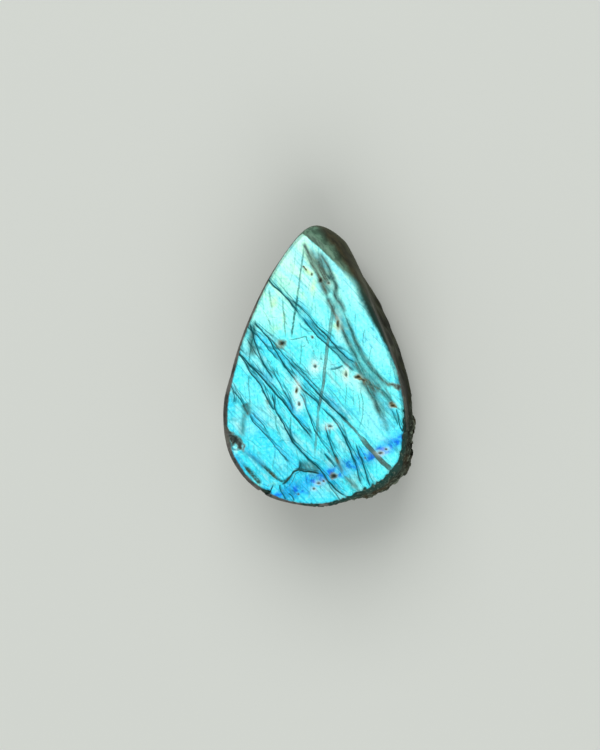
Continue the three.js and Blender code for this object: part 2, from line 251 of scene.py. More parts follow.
# Flaws under the polish: half the width in mm, how dark it is, and the places each runs through on the face
CRACKS = [
    (0.17, 0.95, (-8.9, 14.9), (-7.9, 13.8), (-6.8, 12.6), (-6.0, 11.9), (-5.0, 10.9), (-4.2, 9.9),
        (-3.6, 9.2), (-2.7, 8.0)),
    (0.15, 0.85, (-2.8, 8.2), (-1.7, 6.8), (-1.0, 5.9), (-0.3, 5.1), (0.6, 4.2), (1.8, 3.1), (3.0, 2.0)),
    (0.14, 0.70, (1.8, 3.1), (3.0, 2.0), (3.6, 1.3), (4.4, 0.4), (5.3, -0.4), (6.0, -1.0)),
    (0.14, 0.80, (-5.0, 11.2), (-3.3, 9.9), (-2.4, 9.0), (-1.4, 8.0), (-0.8, 7.2), (0.0, 6.3), (1.4, 4.9)),
    (0.17, 0.90, (0.0, 6.3), (1.4, 4.9), (2.0, 4.2), (3.1, 2.9), (3.8, 2.2), (5.2, 1.0), (6.4, 0.3)),
    (0.12, 0.60, (-1.3, 7.5), (-0.4, 6.2), (0.3, 5.4), (1.0, 4.6), (1.6, 3.9)),
    (0.15, 0.75, (-12.2, 7.0), (-11.3, 6.1), (-10.6, 5.4), (-9.8, 4.7), (-9.0, 3.8), (-8.0, 2.5),
        (-7.3, 1.7), (-6.2, 0.6)),
    (0.17, 0.95, (-11.0, 7.6), (-9.8, 6.3), (-9.0, 5.5), (-8.1, 4.4), (-7.0, 2.4), (-5.8, 0.5),
        (-4.6, -1.2), (-3.4, -2.8)),
    (0.17, 0.90, (-4.6, -1.2), (-3.4, -2.8), (-2.4, -4.0), (-1.2, -5.0), (-0.2, -5.8), (0.6, -7.0)),
    (0.13, 0.80, (-8.6, 5.1), (-7.2, 3.7), (-6.4, 2.6), (-5.0, 1.0), (-3.5, -0.7), (-2.0, -2.3),
        (-0.7, -3.7)),
    (0.18, 0.95, (-2.0, -2.3), (-0.7, -3.7), (0.3, -4.8), (1.3, -5.9), (2.5, -7.0), (4.0, -8.4),
        (5.0, -9.3)),
    (0.11, 0.70, (-5.6, 2.2), (-4.4, 0.9), (-3.2, -0.3), (-2.2, -1.2), (-1.0, -2.6), (0.0, -3.5)),
    (0.20, 0.98, (-13.9, 3.0), (-12.8, 1.8), (-11.4, 0.3), (-10.7, -0.4), (-10.0, -1.1), (-8.5, -2.8),
        (-7.3, -4.2), (-6.2, -5.4)),
    (0.19, 0.98, (-7.3, -4.2), (-6.2, -5.4), (-5.0, -6.8), (-4.2, -8.0), (-3.4, -8.9), (-2.1, -10.4),
        (-0.6, -12.3)),
    (0.17, 0.90, (-13.6, 2.7), (-12.9, 1.7), (-12.3, 0.9), (-11.7, 0.0), (-11.3, -0.9), (-10.4, -2.0),
        (-9.4, -3.3), (-8.5, -5.1)),
    (0.18, 0.90, (-9.4, -3.3), (-8.5, -5.1), (-8.1, -6.0), (-7.6, -6.8), (-7.0, -7.3)),
    (0.17, 0.95, (-7.6, -4.3), (-7.3, -5.6), (-7.05, -7.0), (-6.2, -8.7), (-5.6, -9.7), (-4.5, -11.8),
        (-3.5, -13.2)),
    (0.17, 0.92, (-5.0, -10.9), (-4.2, -12.4), (-3.5, -13.2), (-2.0, -14.7), (-1.3, -15.5), (-0.6, -16.0)),
    (0.16, 0.85, (-11.3, 7.2), (-10.9, 5.9), (-10.3, 3.7), (-9.5, 1.6), (-8.6, -0.3), (-7.9, -1.4),
        (-7.2, -2.5)),
    (0.12, 0.60, (-11.9, 4.7), (-11.0, 3.3), (-10.3, 2.1), (-9.6, 1.2), (-9.0, 0.3), (-8.4, -0.8)),
    (0.12, 0.80, (-7.8, 0.2), (-7.0, -1.6), (-6.3, -2.9), (-5.5, -4.3), (-4.8, -5.5), (-4.2, -6.7),
        (-4.1, -7.6)),
    (0.13, 0.85, (-3.1, -4.2), (-2.4, -5.4), (-2.0, -6.5), (-1.5, -8.0), (-1.0, -9.3), (-0.4, -10.7),
        (0.6, -12.3)),
    (0.11, 0.65, (0.0, -11.4), (0.6, -12.4), (1.3, -13.3), (2.2, -14.5)),
    (0.13, 0.75, (-11.4, -7.6), (-10.7, -9.2), (-9.2, -10.7), (-8.0, -12.0), (-7.0, -13.2), (-5.5, -14.9),
        (-4.1, -16.5)),
    (0.11, 0.60, (-11.0, -7.6), (-10.2, -8.5), (-9.2, -9.5), (-8.4, -10.6)),
    (0.14, 0.80, (-15.4, -1.9), (-14.4, -3.3), (-13.9, -4.2), (-13.2, -5.0), (-12.4, -6.2), (-11.9, -6.9)),
    (0.10, 0.60, (-14.0, -4.1), (-13.8, -5.1), (-13.9, -6.1)),
    (0.15, 0.85, (0.3, -6.5), (1.6, -7.8), (2.9, -9.2), (3.9, -10.8), (4.8, -12.6), (5.6, -14.5),
        (6.3, -16.3)),
    (0.16, 0.85, (4.0, -10.9), (4.8, -12.6), (5.6, -14.5), (6.3, -16.3), (6.7, -17.8), (7.2, -19.4)),
    (0.14, 0.85, (1.2, -9.2), (1.6, -11.2), (2.0, -12.6), (2.6, -14.2), (3.1, -15.2), (3.5, -16.3)),
    (0.15, 0.80, (1.0, -14.2), (1.7, -15.0), (2.5, -16.0), (3.0, -16.7)),
    (0.15, 0.90, (6.2, -12.5), (6.6, -13.9), (7.2, -15.4), (7.7, -16.9), (8.2, -18.5), (8.7, -19.9)),
    (0.18, 0.98, (-1.4, -15.5), (-0.6, -16.0), (0.3, -16.8), (1.0, -17.8), (2.3, -19.4), (3.2, -20.4),
        (4.9, -21.5)),
    (0.10, 0.55, (1.5, -18.5), (2.2, -19.9), (3.2, -21.3), (3.8, -22.0)),
    (0.20, 0.92, (-3.1, -15.4), (-2.9, -16.4), (-3.2, -17.0), (-3.9, -17.3), (-4.6, -18.3), (-5.3, -19.1),
        (-6.1, -19.5)),
    (0.18, 0.92, (-4.0, -17.2), (-3.0, -17.1), (-2.2, -17.3), (-1.4, -17.2), (-0.5, -17.5), (0.6, -17.6)),
    (0.13, 0.75, (-6.3, -19.4), (-6.2, -20.3), (-5.6, -21.2), (-5.3, -22.0)),
    (0.12, 0.80, (-4.9, -20.8), (-4.2, -21.4), (-3.8, -22.2)),
    (0.13, 0.95, (-9.7, -20.0), (-8.8, -20.3), (-8.0, -20.7), (-7.6, -20.2), (-7.3, -19.4)),
    (0.13, 0.85, (12.8, -6.9), (13.1, -8.3), (13.4, -9.6), (13.9, -10.9)),
    (0.10, 0.60, (12.1, -7.2), (12.6, -8.5), (13.2, -9.8)),
    (0.11, 0.70, (2.0, -0.65), (2.8, -0.6), (3.5, -0.35), (4.3, 0.05)),
]

# Healed seams, most of them finer and steeper than the cracks
SEAMS = [
    (0.18, 0.75, (-2.2, 20.0), (-2.4, 18.0), (-2.7, 16.0), (-2.95, 14.0), (-3.2, 12.0), (-3.4, 10.5),
        (-3.6, 9.2)),
    (0.22, 0.95, (-3.2, 12.0), (-3.4, 10.5), (-3.7, 8.8), (-4.0, 6.9), (-4.25, 5.4), (-4.3, 4.2)),
    (0.11, 0.28, (-3.6, 19.8), (-3.7, 18.0), (-3.9, 16.5), (-4.2, 14.8), (-4.6, 13.5), (-5.3, 12.9)),
    (0.14, 0.60, (-8.1, 12.9), (-7.9, 11.5), (-7.7, 10.3), (-7.3, 9.0)),
    (0.14, 0.65, (-5.8, 11.2), (-5.7, 9.6), (-5.5, 8.0), (-5.4, 6.0), (-5.35, 4.1)),
    (0.09, 0.40, (-9.3, 9.1), (-8.8, 8.7), (-8.3, 7.9), (-8.0, 7.0), (-7.7, 6.2)),
    (0.09, 0.32, (-0.4, 12.4), (-0.6, 11.0), (-0.9, 9.5), (-1.0, 8.5)),
    (0.10, 0.25, (-1.2, 14.2), (-1.5, 12.6), (-1.7, 11.4)),
    (0.12, 0.60, (-2.7, 4.1), (-2.7, 2.5), (-2.8, 1.2), (-2.9, -0.3)),
    (0.09, 0.35, (-4.1, 2.2), (-4.2, 1.0), (-4.2, 0.0)),
    (0.12, 0.75, (-5.2, 4.2), (-4.2, 4.2), (-3.3, 4.4), (-2.5, 4.6), (-2.0, 4.8), (-1.8, 4.1), (-1.5, 3.4)),
    (0.10, 0.30, (-2.8, 7.8), (-2.75, 6.4), (-2.7, 5.1), (-2.6, 4.5)),
    (0.16, 0.70, (-10.6, 7.3), (-10.5, 6.0), (-10.7, 4.4), (-11.0, 3.0), (-11.2, 1.2), (-11.3, 0.3)),
    (0.14, 0.55, (-11.2, -1.0), (-11.4, -2.5), (-11.3, -4.0), (-11.2, -5.5), (-11.3, -6.6)),
    (0.10, 0.50, (-7.0, -7.5), (-6.95, -8.6), (-6.8, -10.0), (-6.3, -11.0), (-5.8, -11.6)),
    (0.12, 0.72, (-4.35, -7.8), (-4.45, -9.5), (-4.5, -11.0), (-4.35, -12.2)),
    (0.09, 0.40, (-3.3, -9.2), (-3.3, -10.8)),
    (0.10, 0.42, (-6.9, -13.3), (-7.1, -14.6), (-7.3, -16.0), (-7.5, -17.3)),
    (0.09, 0.34, (-12.0, -11.9), (-10.9, -12.4), (-9.9, -13.2), (-9.0, -14.0)),
    (0.10, 0.40, (-3.6, -13.3), (-3.4, -14.4), (-3.1, -15.5)),
    (0.10, 0.55, (7.7, 6.2), (7.4, 4.2), (7.55, 2.6)),
    (0.10, 0.50, (8.9, 3.4), (8.5, 1.8), (8.3, 0.4)),
    (0.09, 0.45, (6.3, 8.8), (6.1, 7.2), (6.2, 5.6)),
    (0.10, 0.55, (4.6, -2.5), (4.7, -4.5), (4.5, -6.8)),
    (0.11, 0.60, (7.25, -2.8), (7.05, -4.3), (7.3, -5.1), (7.45, -6.6), (7.45, -7.9), (7.1, -9.2),
        (6.6, -10.6)),
    (0.10, 0.50, (6.6, -4.3), (6.9, -6.3), (6.8, -8.2)),
    (0.09, 0.50, (5.9, -4.0), (5.8, -5.6), (6.0, -6.6)),
    (0.10, 0.48, (1.3, -3.0), (2.0, -3.8), (2.9, -4.9), (3.9, -6.2), (4.5, -7.1)),
    (0.09, 0.40, (-1.0, -2.2), (0.3, -2.2)),
    (0.09, 0.36, (-0.35, 4.8), (-0.35, 3.6), (-0.4, 2.8)),
    (0.09, 0.35, (3.2, -3.9), (4.0, -4.9), (4.6, -5.9)),
    (0.10, 0.35, (-9.2, 4.9), (-8.0, 4.9), (-6.9, 4.95)),
    (0.10, 0.34, (-8.6, -13.1), (-7.6, -13.3), (-6.9, -13.2)),
    (0.09, 0.34, (-10.2, -11.8), (-9.0, -11.8), (-8.3, -11.7)),
    (0.09, 0.38, (-6.6, -12.4), (-5.4, -12.2), (-4.6, -12.3)),
    (0.10, 0.38, (-1.3, -17.4), (-1.0, -18.6), (-1.1, -19.9), (-1.3, -21.0), (-1.2, -22.2)),
    (0.09, 0.36, (3.3, -12.5), (4.3, -12.4), (5.2, -12.6)),
    (0.09, 0.36, (-2.2, 6.1), (-1.4, 5.6), (-0.8, 5.5)),
    (0.15, 0.62, (3.6, 10.7), (4.6, 7.8), (5.7, 5.5), (6.5, 3.2), (7.5, 0.9), (9.6, -1.5), (11.9, -3.3)),
    (0.16, 0.70, (3.9, 5.8), (4.9, 3.8), (6.0, 1.9), (6.9, 0.2), (7.5, -1.2), (8.2, -2.4)),
    (0.12, 0.50, (4.4, 8.6), (5.1, 6.6), (5.7, 4.9), (6.2, 3.2), (6.9, 1.5)),
    (0.15, 0.65, (7.4, -2.2), (8.7, -3.2), (10.5, -4.0), (11.9, -5.5), (12.9, -6.8), (14.0, -7.5)),
    (0.12, 0.55, (8.3, -3.3), (9.3, -5.3), (10.1, -6.9), (11.0, -8.7)),
    (0.16, 0.70, (-0.9, 2.5), (-0.5, 2.2)),
    (0.14, 0.60, (0.3, 1.3), (0.9, 0.8)),
]

# Hairlines of the net at the upper left
HAIRLINES = [
    (0.12, 0.80, (-10.5, 7.6), (-10.2, 6.9), (-9.9, 6.4), (-9.6, 6.1)),
    (0.09, 0.60, (-8.5, 0.8), (-8.1, 0.75), (-7.8, 0.35)),
    (0.09, 0.60, (-7.5, 0.9), (-7.8, 0.35), (-7.7, 0.0)),
    (0.10, 0.60, (-5.4, 7.3), (-5.1, 6.8), (-4.9, 6.5)),
    (0.09, 0.60, (-3.1, 7.2), (-2.7, 6.4), (-2.4, 6.1), (-1.9, 5.8), (-1.3, 5.5)),
    (0.09, 0.60, (-1.9, 5.2), (-1.8, 4.5), (-1.6, 4.0), (-1.55, 3.3)),
    (0.09, 0.60, (-2.7, 3.2), (-2.3, 3.1), (-1.9, 3.5)),
    (0.08, 0.45, (-8.3, 8.0), (-7.2, 7.9), (-6.4, 7.7)),
    (0.08, 0.45, (-8.5, 7.6), (-8.0, 7.3), (-7.7, 6.6), (-7.3, 6.0)),
]

# Healed ribbons with two sharp edges
RIBBONS = [
    (0.24, 0.60, (2.9, 10.4), (2.6, 9.4), (2.4, 8.3), (2.1, 6.5), (1.9, 4.9), (1.6, 3.4), (1.45, 2.0)),
    (0.24, 0.78, (1.9, 4.9), (1.6, 3.4), (1.45, 2.0), (1.3, 0.4), (1.05, -1.0), (0.95, -2.5), (0.75, -4.0)),
    (0.22, 0.80, (1.05, -1.0), (0.95, -2.5), (0.75, -4.0), (0.5, -5.4), (0.2, -6.8), (0.1, -8.5)),
    (0.18, 0.60, (0.2, -6.8), (0.1, -8.5), (0.0, -9.8), (-0.2, -11.2), (-0.35, -12.8), (-0.5, -15.8)),
    (0.16, 0.75, (3.6, -8.2), (4.4, -8.9), (5.2, -9.6), (6.4, -10.9), (7.6, -12.3)),
    (0.36, 0.95, (6.4, -10.9), (7.6, -12.3), (9.0, -13.9), (10.3, -15.3), (11.4, -16.4), (12.4, -17.2)),
]

# Bands at the round end
BANDS = [
    (0.24, 0.95, (-12.7, -13.6), (-12.2, -14.0), (-11.2, -14.8), (-10.2, -15.4), (-8.9, -16.5),
        (-7.6, -17.8), (-6.7, -18.6)),
    (0.24, 0.95, (-8.9, -16.4), (-7.6, -17.7), (-6.7, -18.5), (-5.7, -19.0), (-4.9, -18.6), (-4.3, -17.8)),
    (0.26, 0.95, (-13.6, -14.4), (-13.2, -15.0), (-12.5, -15.9), (-11.5, -17.1), (-10.6, -18.1)),
    (0.34, 0.95, (-12.0, -16.5), (-11.5, -17.1), (-10.6, -18.1), (-9.9, -18.9), (-9.4, -19.6)),
    (0.18, 0.70, (-4.6, -18.2), (-3.6, -17.2), (-2.8, -17.0), (-1.8, -17.2), (-0.6, -17.4), (0.4, -17.6)),
]

# Cloudy veils
VEILS = [
    (0.32, 0.95, (-2.4, 20.3), (-2.1, 19.5), (-1.5, 18.0), (-0.8, 16.3), (0.3, 14.3), (1.1, 12.3),
        (2.2, 9.8)),
    (0.80, 0.70, (-2.0, 19.4), (-1.0, 17.9), (0.1, 16.4), (0.9, 15.0), (1.6, 13.7), (2.0, 12.4)),
    (0.36, 0.75, (-0.7, 18.9), (0.7, 17.7), (1.4, 16.6), (2.0, 15.3), (2.6, 14.3), (3.0, 13.4)),
    (0.75, 0.75, (0.4, 14.6), (0.9, 13.4), (1.4, 12.4), (1.9, 11.4)),
    (0.50, 1.00, (0.0, 18.2), (0.3, 17.0), (0.6, 16.0), (1.1, 14.8), (1.7, 14.2), (2.2, 13.4)),
    (0.30, 0.75, (1.2, 17.6), (1.75, 16.1), (2.2, 14.4), (2.9, 13.3), (2.9, 11.6), (2.9, 10.6)),
    (0.38, 0.85, (2.9, 14.3), (3.0, 13.0), (2.9, 11.8), (3.2, 10.9), (3.8, 10.1), (4.2, 9.2), (4.6, 8.1)),
    (0.46, 0.90, (1.4, 11.4), (1.8, 10.6), (2.3, 9.6), (2.7, 8.6), (3.1, 7.7), (3.5, 6.9)),
    (0.95, 0.34, (2.6, 12.4), (3.0, 10.4), (3.6, 8.4), (4.4, 6.4), (5.2, 4.6), (6.0, 2.9), (6.9, 1.2)),
    (0.95, 0.34, (5.6, 3.0), (6.6, 1.2), (7.8, -0.4), (9.2, -1.9), (10.6, -3.0), (12.0, -3.9)),
    (1.00, 0.30, (7.4, -2.4), (8.8, -3.6), (9.8, -5.2), (10.6, -7.0), (11.6, -9.2)),
    (0.36, 0.90, (3.4, 7.4), (3.9, 6.4), (4.3, 5.3), (4.9, 4.0), (5.5, 2.9), (6.1, 1.7), (6.7, 0.5)),
    (0.34, 0.90, (6.0, 1.4), (6.5, -0.1), (7.0, -1.1), (7.6, -2.1), (8.2, -3.0)),
    (0.34, 0.75, (4.5, 8.4), (5.1, 6.9), (5.6, 5.5), (6.2, 4.1), (6.9, 2.7), (7.6, 1.4), (8.3, 0.4)),
    (0.34, 0.85, (7.4, 1.6), (8.3, 0.4), (9.2, -0.8), (10.2, -2.0), (11.2, -2.9), (12.3, -3.5)),
    (0.14, 0.50, (6.0, 3.1), (6.7, 2.1), (7.3, 1.3), (8.0, 0.3)),
    (0.70, 0.45, (5.2, 0.8), (6.4, -0.2), (7.6, -0.9), (8.6, -1.9), (9.8, -2.9)),
    (0.50, 0.45, (2.6, 2.9), (3.6, 1.9), (4.6, 0.9), (5.6, 0.0)),
    (0.80, 1.00, (7.0, -2.0), (8.3, -3.0), (9.2, -3.5), (10.6, -4.0)),
    (0.50, 0.90, (7.2, -2.0), (8.1, -3.3), (8.8, -4.5), (9.3, -5.9)),
    (0.46, 0.75, (8.2, -2.8), (8.9, -4.4), (9.4, -5.7), (9.8, -7.0), (10.4, -8.4)),
    (0.40, 0.50, (9.0, -5.0), (9.8, -7.0), (10.4, -8.2), (11.0, -9.3), (11.9, -11.6)),
    (0.36, 0.85, (9.8, -3.7), (10.8, -4.6), (11.5, -5.3), (12.1, -6.1), (12.8, -6.9)),
    (0.18, 0.50, (10.8, -3.4), (11.5, -4.4), (12.2, -5.4)),
    (0.20, 0.60, (3.0, -7.4), (4.0, -8.3), (5.0, -9.3), (5.8, -10.2), (6.6, -11.2)),
    (0.30, 0.95, (7.4, -12.1), (8.4, -13.2), (9.4, -14.4), (10.6, -15.6), (11.6, -16.5), (12.6, -17.4)),
    (0.36, 0.70, (4.2, -17.9), (5.0, -18.6), (5.8, -19.3), (6.6, -20.2)),
    (0.26, 0.75, (2.6, -14.2), (3.1, -15.2), (3.6, -16.4), (4.3, -17.6)),
    (0.60, 0.95, (-12.0, -6.0), (-11.7, -7.0), (-11.4, -8.4)),
    (0.26, 0.90, (-12.5, -6.2), (-12.0, -7.2), (-11.4, -7.7)),
    (0.46, 0.45, (-11.8, -7.4), (-12.3, -9.4), (-12.5, -12.0)),
    (0.55, 0.80, (-10.9, 7.4), (-10.7, 5.6), (-10.9, 4.2), (-10.8, 2.6), (-10.4, 1.2)),
    (0.80, 0.70, (-3.4, -16.6), (-2.2, -16.4), (-0.8, -16.6), (0.5, -17.3)),
    (0.34, 0.50, (-5.6, 11.3), (-4.8, 10.8), (-4.1, 10.3), (-3.4, 9.9)),
    (0.26, 0.62, (6.2, -20.1), (6.9, -20.5), (7.6, -20.3)),
]

# Teal shade inside the bundles of cracks
SHADES = [
    (0.45, 0.70, (-4.4, 10.2), (-2.9, 8.6), (-1.6, 7.3), (-0.4, 6.1), (0.9, 4.8), (2.3, 3.4), (3.5, 2.3)),
    (0.50, 0.65, (2.3, 3.4), (3.5, 2.2), (4.6, 1.0), (5.6, 0.1), (6.6, -0.6)),
    (0.40, 0.75, (-3.3, 8.8), (-2.7, 8.0), (-2.0, 7.3), (-1.2, 6.4)),
    (0.60, 0.75, (-11.6, 0.6), (-10.9, -0.3), (-10.1, -0.8), (-9.3, -0.9)),
    (0.45, 0.70, (-11.3, -0.6), (-10.5, -1.5), (-9.7, -2.6), (-9.0, -3.8)),
    (0.35, 0.60, (-9.2, 1.6), (-8.8, 0.2), (-8.2, -0.9), (-7.6, -2.0), (-7.9, -2.7)),
    (0.42, 0.60, (-7.6, 2.9), (-6.6, 1.6), (-5.6, 0.1), (-4.6, -1.3), (-3.6, -2.5)),
    (0.40, 0.55, (-4.6, 0.6), (-3.3, -0.8), (-1.9, -2.2), (-0.7, -3.5)),
    (0.45, 0.85, (-5.3, -4.2), (-4.8, -5.2), (-4.4, -6.0), (-4.2, -7.2), (-4.0, -8.0)),
    (0.30, 0.75, (-8.4, -5.3), (-7.9, -6.2), (-7.4, -7.0), (-7.0, -7.5)),
    (0.40, 0.80, (0.2, -3.9), (0.5, -4.8), (0.4, -5.8), (0.3, -6.8), (0.5, -7.6)),
    (0.36, 0.70, (-1.6, -4.9), (-0.8, -5.3), (-0.1, -5.9), (0.3, -6.6)),
    (0.40, 0.65, (2.9, -9.2), (3.6, -10.3), (4.4, -11.8), (5.1, -13.4), (5.9, -15.4)),
    (0.45, 0.60, (2.6, -7.4), (3.8, -8.5), (4.8, -9.6), (6.0, -10.9)),
    (0.36, 0.65, (-2.6, -9.8), (-1.8, -11.0), (-0.9, -12.2), (-0.2, -13.4)),
    (0.40, 0.60, (-5.2, -10.6), (-4.4, -12.0), (-3.5, -13.3), (-2.2, -14.6), (-1.2, -15.6)),
    (0.34, 0.60, (6.3, -13.0), (6.9, -14.9), (7.5, -16.6), (8.2, -18.6)),
    (0.40, 0.60, (1.2, -10.6), (1.8, -12.4), (2.5, -14.3), (3.2, -15.8)),
    (0.30, 0.60, (-12.0, -14.2), (-10.8, -15.1), (-9.5, -16.3), (-8.4, -17.4)),
    (0.40, 0.70, (-0.8, -16.2), (0.3, -17.0), (1.2, -18.2), (2.3, -19.6), (3.4, -20.7)),
    (0.50, 0.60, (11.2, -5.2), (12.0, -6.8), (12.6, -8.6), (13.2, -10.4)),
]

# Rusty marks
RUST = [
    (0.20, 1.00, (-2.5, 16.3), (-2.05, 15.85), (-1.6, 15.4)),
    (0.45, 0.30, (-2.4, 16.2), (-1.6, 15.4), (-0.8, 14.6)),
    (0.50, 0.45, (0.7, 13.6), (1.2, 13.0), (1.7, 12.7)),
    (0.22, 0.70, (3.35, 7.5), (3.4, 6.9), (3.45, 6.1)),
    (0.40, 0.95, (6.2, -1.5), (6.8, -1.9), (7.4, -2.3), (8.2, -2.8)),
    (0.55, 0.36, (7.6, -2.6), (9.3, -3.4), (11.0, -4.0)),
    (0.46, 0.80, (10.6, -2.7), (12.3, -3.3), (13.8, -3.6), (15.6, -4.0)),
    (0.38, 0.90, (11.6, -5.8), (12.3, -6.4), (13.2, -7.0)),
    (0.16, 0.80, (-3.3, -3.6), (-3.45, -4.1), (-3.55, -4.5)),
    (0.22, 0.55, (-8.8, -5.2), (-8.2, -6.1), (-7.8, -6.7)),
    (0.30, 0.60, (2.8, -14.6), (3.2, -15.4), (3.7, -16.3)),
    (0.70, 0.60, (-16.4, -10.0), (-15.0, -10.8), (-13.9, -11.7), (-12.9, -12.6), (-12.6, -13.6),
        (-12.7, -15.4)),
    (0.22, 0.55, (-13.6, -11.3), (-12.7, -12.0), (-12.2, -12.8), (-12.2, -13.6), (-12.6, -14.8)),
    (0.50, 1.00, (-15.8, -9.2), (-15.0, -10.6), (-14.4, -11.8), (-14.1, -12.6), (-14.4, -14.2)),
    (0.42, 1.00, (-15.0, -12.0), (-13.9, -12.2), (-13.2, -12.7), (-12.95, -13.4), (-12.8, -15.0)),
]

# Pits where grains fell out: place, reach across and along, depth, how far a bruise reaches, rustiness
PITS = [
    ((0.4, 13.95), (0.27, 0.46), 0.25, 0.05, 0.3),
    ((1.85, 13.4), (0.20, 0.18), 0.08, 0.20, 0.5),
    ((-1.0, 14.85), (0.16, 0.20), 0.06, 0.20, 0.3),
    ((-5.95, 3.58), (0.56, 0.50), 0.24, 0.10, 1.0),
    ((-0.4, -0.15), (0.24, 0.32), 0.16, 0.60, 0.0),
    ((-0.9, 4.6), (0.18, 0.22), 0.05, 0.20, 0.5),
    ((-3.45, -4.1), (0.16, 0.48), 0.12, 0.50, 0.7),
    ((-3.05, -6.3), (0.22, 0.34), 0.14, 0.55, 0.0),
    ((3.35, 6.65), (0.20, 0.70), 0.12, 0.35, 0.9),
    ((4.65, -1.45), (0.17, 0.40), 0.08, 0.45, 0.5),
    ((6.5, -1.85), (0.45, 0.28), 0.14, 0.25, 1.0),
    ((12.3, -6.45), (0.34, 0.24), 0.12, 0.30, 1.0),
    ((2.0, -9.9), (0.34, 0.18), 0.08, 0.45, 0.2),
    ((2.65, -17.95), (0.44, 0.38), 0.22, 0.15, 0.9),
    ((10.3, -14.2), (0.30, 0.16), 0.08, 0.40, 0.8),
    ((11.2, -13.6), (0.18, 0.12), 0.06, 0.30, 0.6),
    ((0.15, -19.2), (0.24, 0.15), 0.08, 0.30, 0.7),
    ((1.0, -18.85), (0.18, 0.12), 0.06, 0.25, 0.7),
    ((-0.6, -20.1), (0.20, 0.15), 0.08, 0.30, 0.7),
    ((-3.2, -21.0), (0.16, 0.16), 0.06, 0.05, 0.6),
    ((7.75, -15.1), (0.14, 0.14), 0.06, 0.05, 0.6),
]

# Deeper blue patches of the flash: place, reach along and across in mm, turn in degrees, strength
AZURE = [
    ((2.6, -6.1), 2.0, 0.7, -45, 0.75),
    ((5.1, -7.5), 0.8, 0.5, 0, 0.6),
    ((-8.5, -1.9), 1.6, 0.7, -45, 0.65),
    ((-4.5, -6.7), 1.4, 0.5, -50, 0.8),
    ((-3.2, -8.2), 1.6, 0.7, -50, 0.5),
    ((-10.4, -8.5), 1.4, 0.6, -45, 0.5),
    ((-10.4, -15.0), 2.4, 0.5, -40, 0.65),
    ((-13.2, -16.0), 1.8, 0.5, -55, 0.8),
    ((-14.4, -6.2), 1.6, 0.8, -80, 0.5),
    ((-8.6, 4.4), 1.4, 0.6, -50, 0.35),
    ((-2.4, 9.6), 1.4, 0.6, -45, 0.4),
    ((-4.3, -20.0), 1.8, 0.9, 20, 0.7),
    ((-0.9, -18.6), 1.2, 0.8, 0, 0.5),
    ((2.9, -19.0), 1.2, 0.6, -40, 0.6),
    ((-4.4, -11.6), 0.5, 1.2, 0, 0.6),
    ((12.2, -12.7), 2.0, 0.9, 20, 0.6),
]

# Paler patches, in the same terms
PALE = [
    ((-13.6, -13.8), 0.35, 0.7, 10, 0.95),
    ((-9.1, -7.6), 1.8, 2.0, 0, 0.6),
    ((-11.0, -10.3), 1.2, 1.0, 0, 0.5),
    ((-13.1, -9.3), 0.9, 1.6, 0, 0.6),
    ((-3.0, 20.5), 1.0, 0.7, 50, 0.95),
    ((-0.7, -0.6), 1.3, 1.3, 0, 0.75),
    ((-3.6, -4.6), 1.2, 1.6, 20, 0.55),
    ((-2.6, -6.0), 1.0, 0.9, 0, 0.5),
    ((6.0, -2.6), 2.4, 1.2, -30, 0.65),
    ((9.0, -8.6), 2.2, 3.4, 15, 0.55),
    ((9.4, 3.2), 3.4, 1.6, -65, 0.5),
    ((6.3, 11.0), 3.0, 1.0, -62, 0.5),
    ((-4.6, 16.6), 2.4, 1.6, 60, 0.75),
    ((-1.6, 14.2), 2.4, 1.2, -70, 0.85),
    ((-7.0, 8.2), 2.4, 1.8, -50, 0.6),
    ((3.4, 3.6), 1.6, 0.9, -45, 0.3),
    ((-11.4, -4.0), 2.0, 1.3, -80, 0.3),
    ((4.2, -13.2), 1.0, 1.4, 0, 0.5),
    ((-6.0, -15.6), 1.3, 1.6, 20, 0.35),
    ((0.4, -20.6), 1.8, 1.0, 0, 0.35),
]

# Yellow green patches, in the same terms
MINT = [
    ((-1.5, 15.3), 1.1, 0.6, -40, 0.9),
    ((-0.7, 12.8), 1.7, 0.45, 80, 0.7),
    ((-2.2, 11.4), 0.9, 0.5, 70, 0.5),
    ((-7.2, 10.2), 1.6, 0.7, 70, 0.6),
    ((-5.9, 7.4), 1.6, 0.6, 75, 0.6),
    ((-6.7, 5.9), 1.2, 0.8, 0, 0.5),
    ((3.0, 6.4), 0.8, 0.6, 0, 0.7),
    ((4.6, -1.2), 0.7, 0.6, 0, 0.5),
    ((-9.9, -19.2), 1.0, 0.5, -40, 0.5),
    ((-7.6, -19.3), 0.7, 0.5, 0, 0.4),
]

FLAW_REACH = 1.6  # flaws show this far below the face's level, in mm
WOBBLE, WOBBLE_SIZE = 0.10, 1.1  # how far a flaw strays from its line, over which length, in mm
FRAY, FRAY_SIZE = 0.3, 0.7  # how much more rusty marks stray
ELSEWHERE = 40.0  # mm between the lumps that stray along X and those that stray along Y
PATH_PIECES = 5  # straight pieces between two of a flaw's places
FLAW_SIDE, FAR = 1.5, 9.0  # mm beside its line where a flaw is traced, and the distance given further off
NO_FLAW = (FAR, 0.0, 1.0)  # distance, strength and half width where there is none
END_WIDTH = 0.5  # share of its width that a flaw has left at its ends
OVERLAP = 0.35  # how much one cloudy flaw adds where it lies over another
# Cracks that lean under the polish throw a painted shadow on the flash to their left
CRACK_SHADOW_REACH = 0.6  # how far a crack that leans under the polish dims the flash on its left, in mm
PIT_CHANGE, PIT_CHANGE_SIZE = 0.35, 0.4  # how uneven the pits' edges are, over which length in mm
RING_SHARE = 1.5  # how far a pit's rusty rim reaches, in its own reaches
BRUISE_FULL = 0.5  # a bruise that reaches this far, in mm, is as pale as any

# Share of a flaw's length over which each of its ends fades
TAPERS = {"crack": 0.12, "band": 0.15, "seam": 0.2, "ribbon": 0.2, "veil": 0.2, "shade": 0.25, "rust": 0.3}


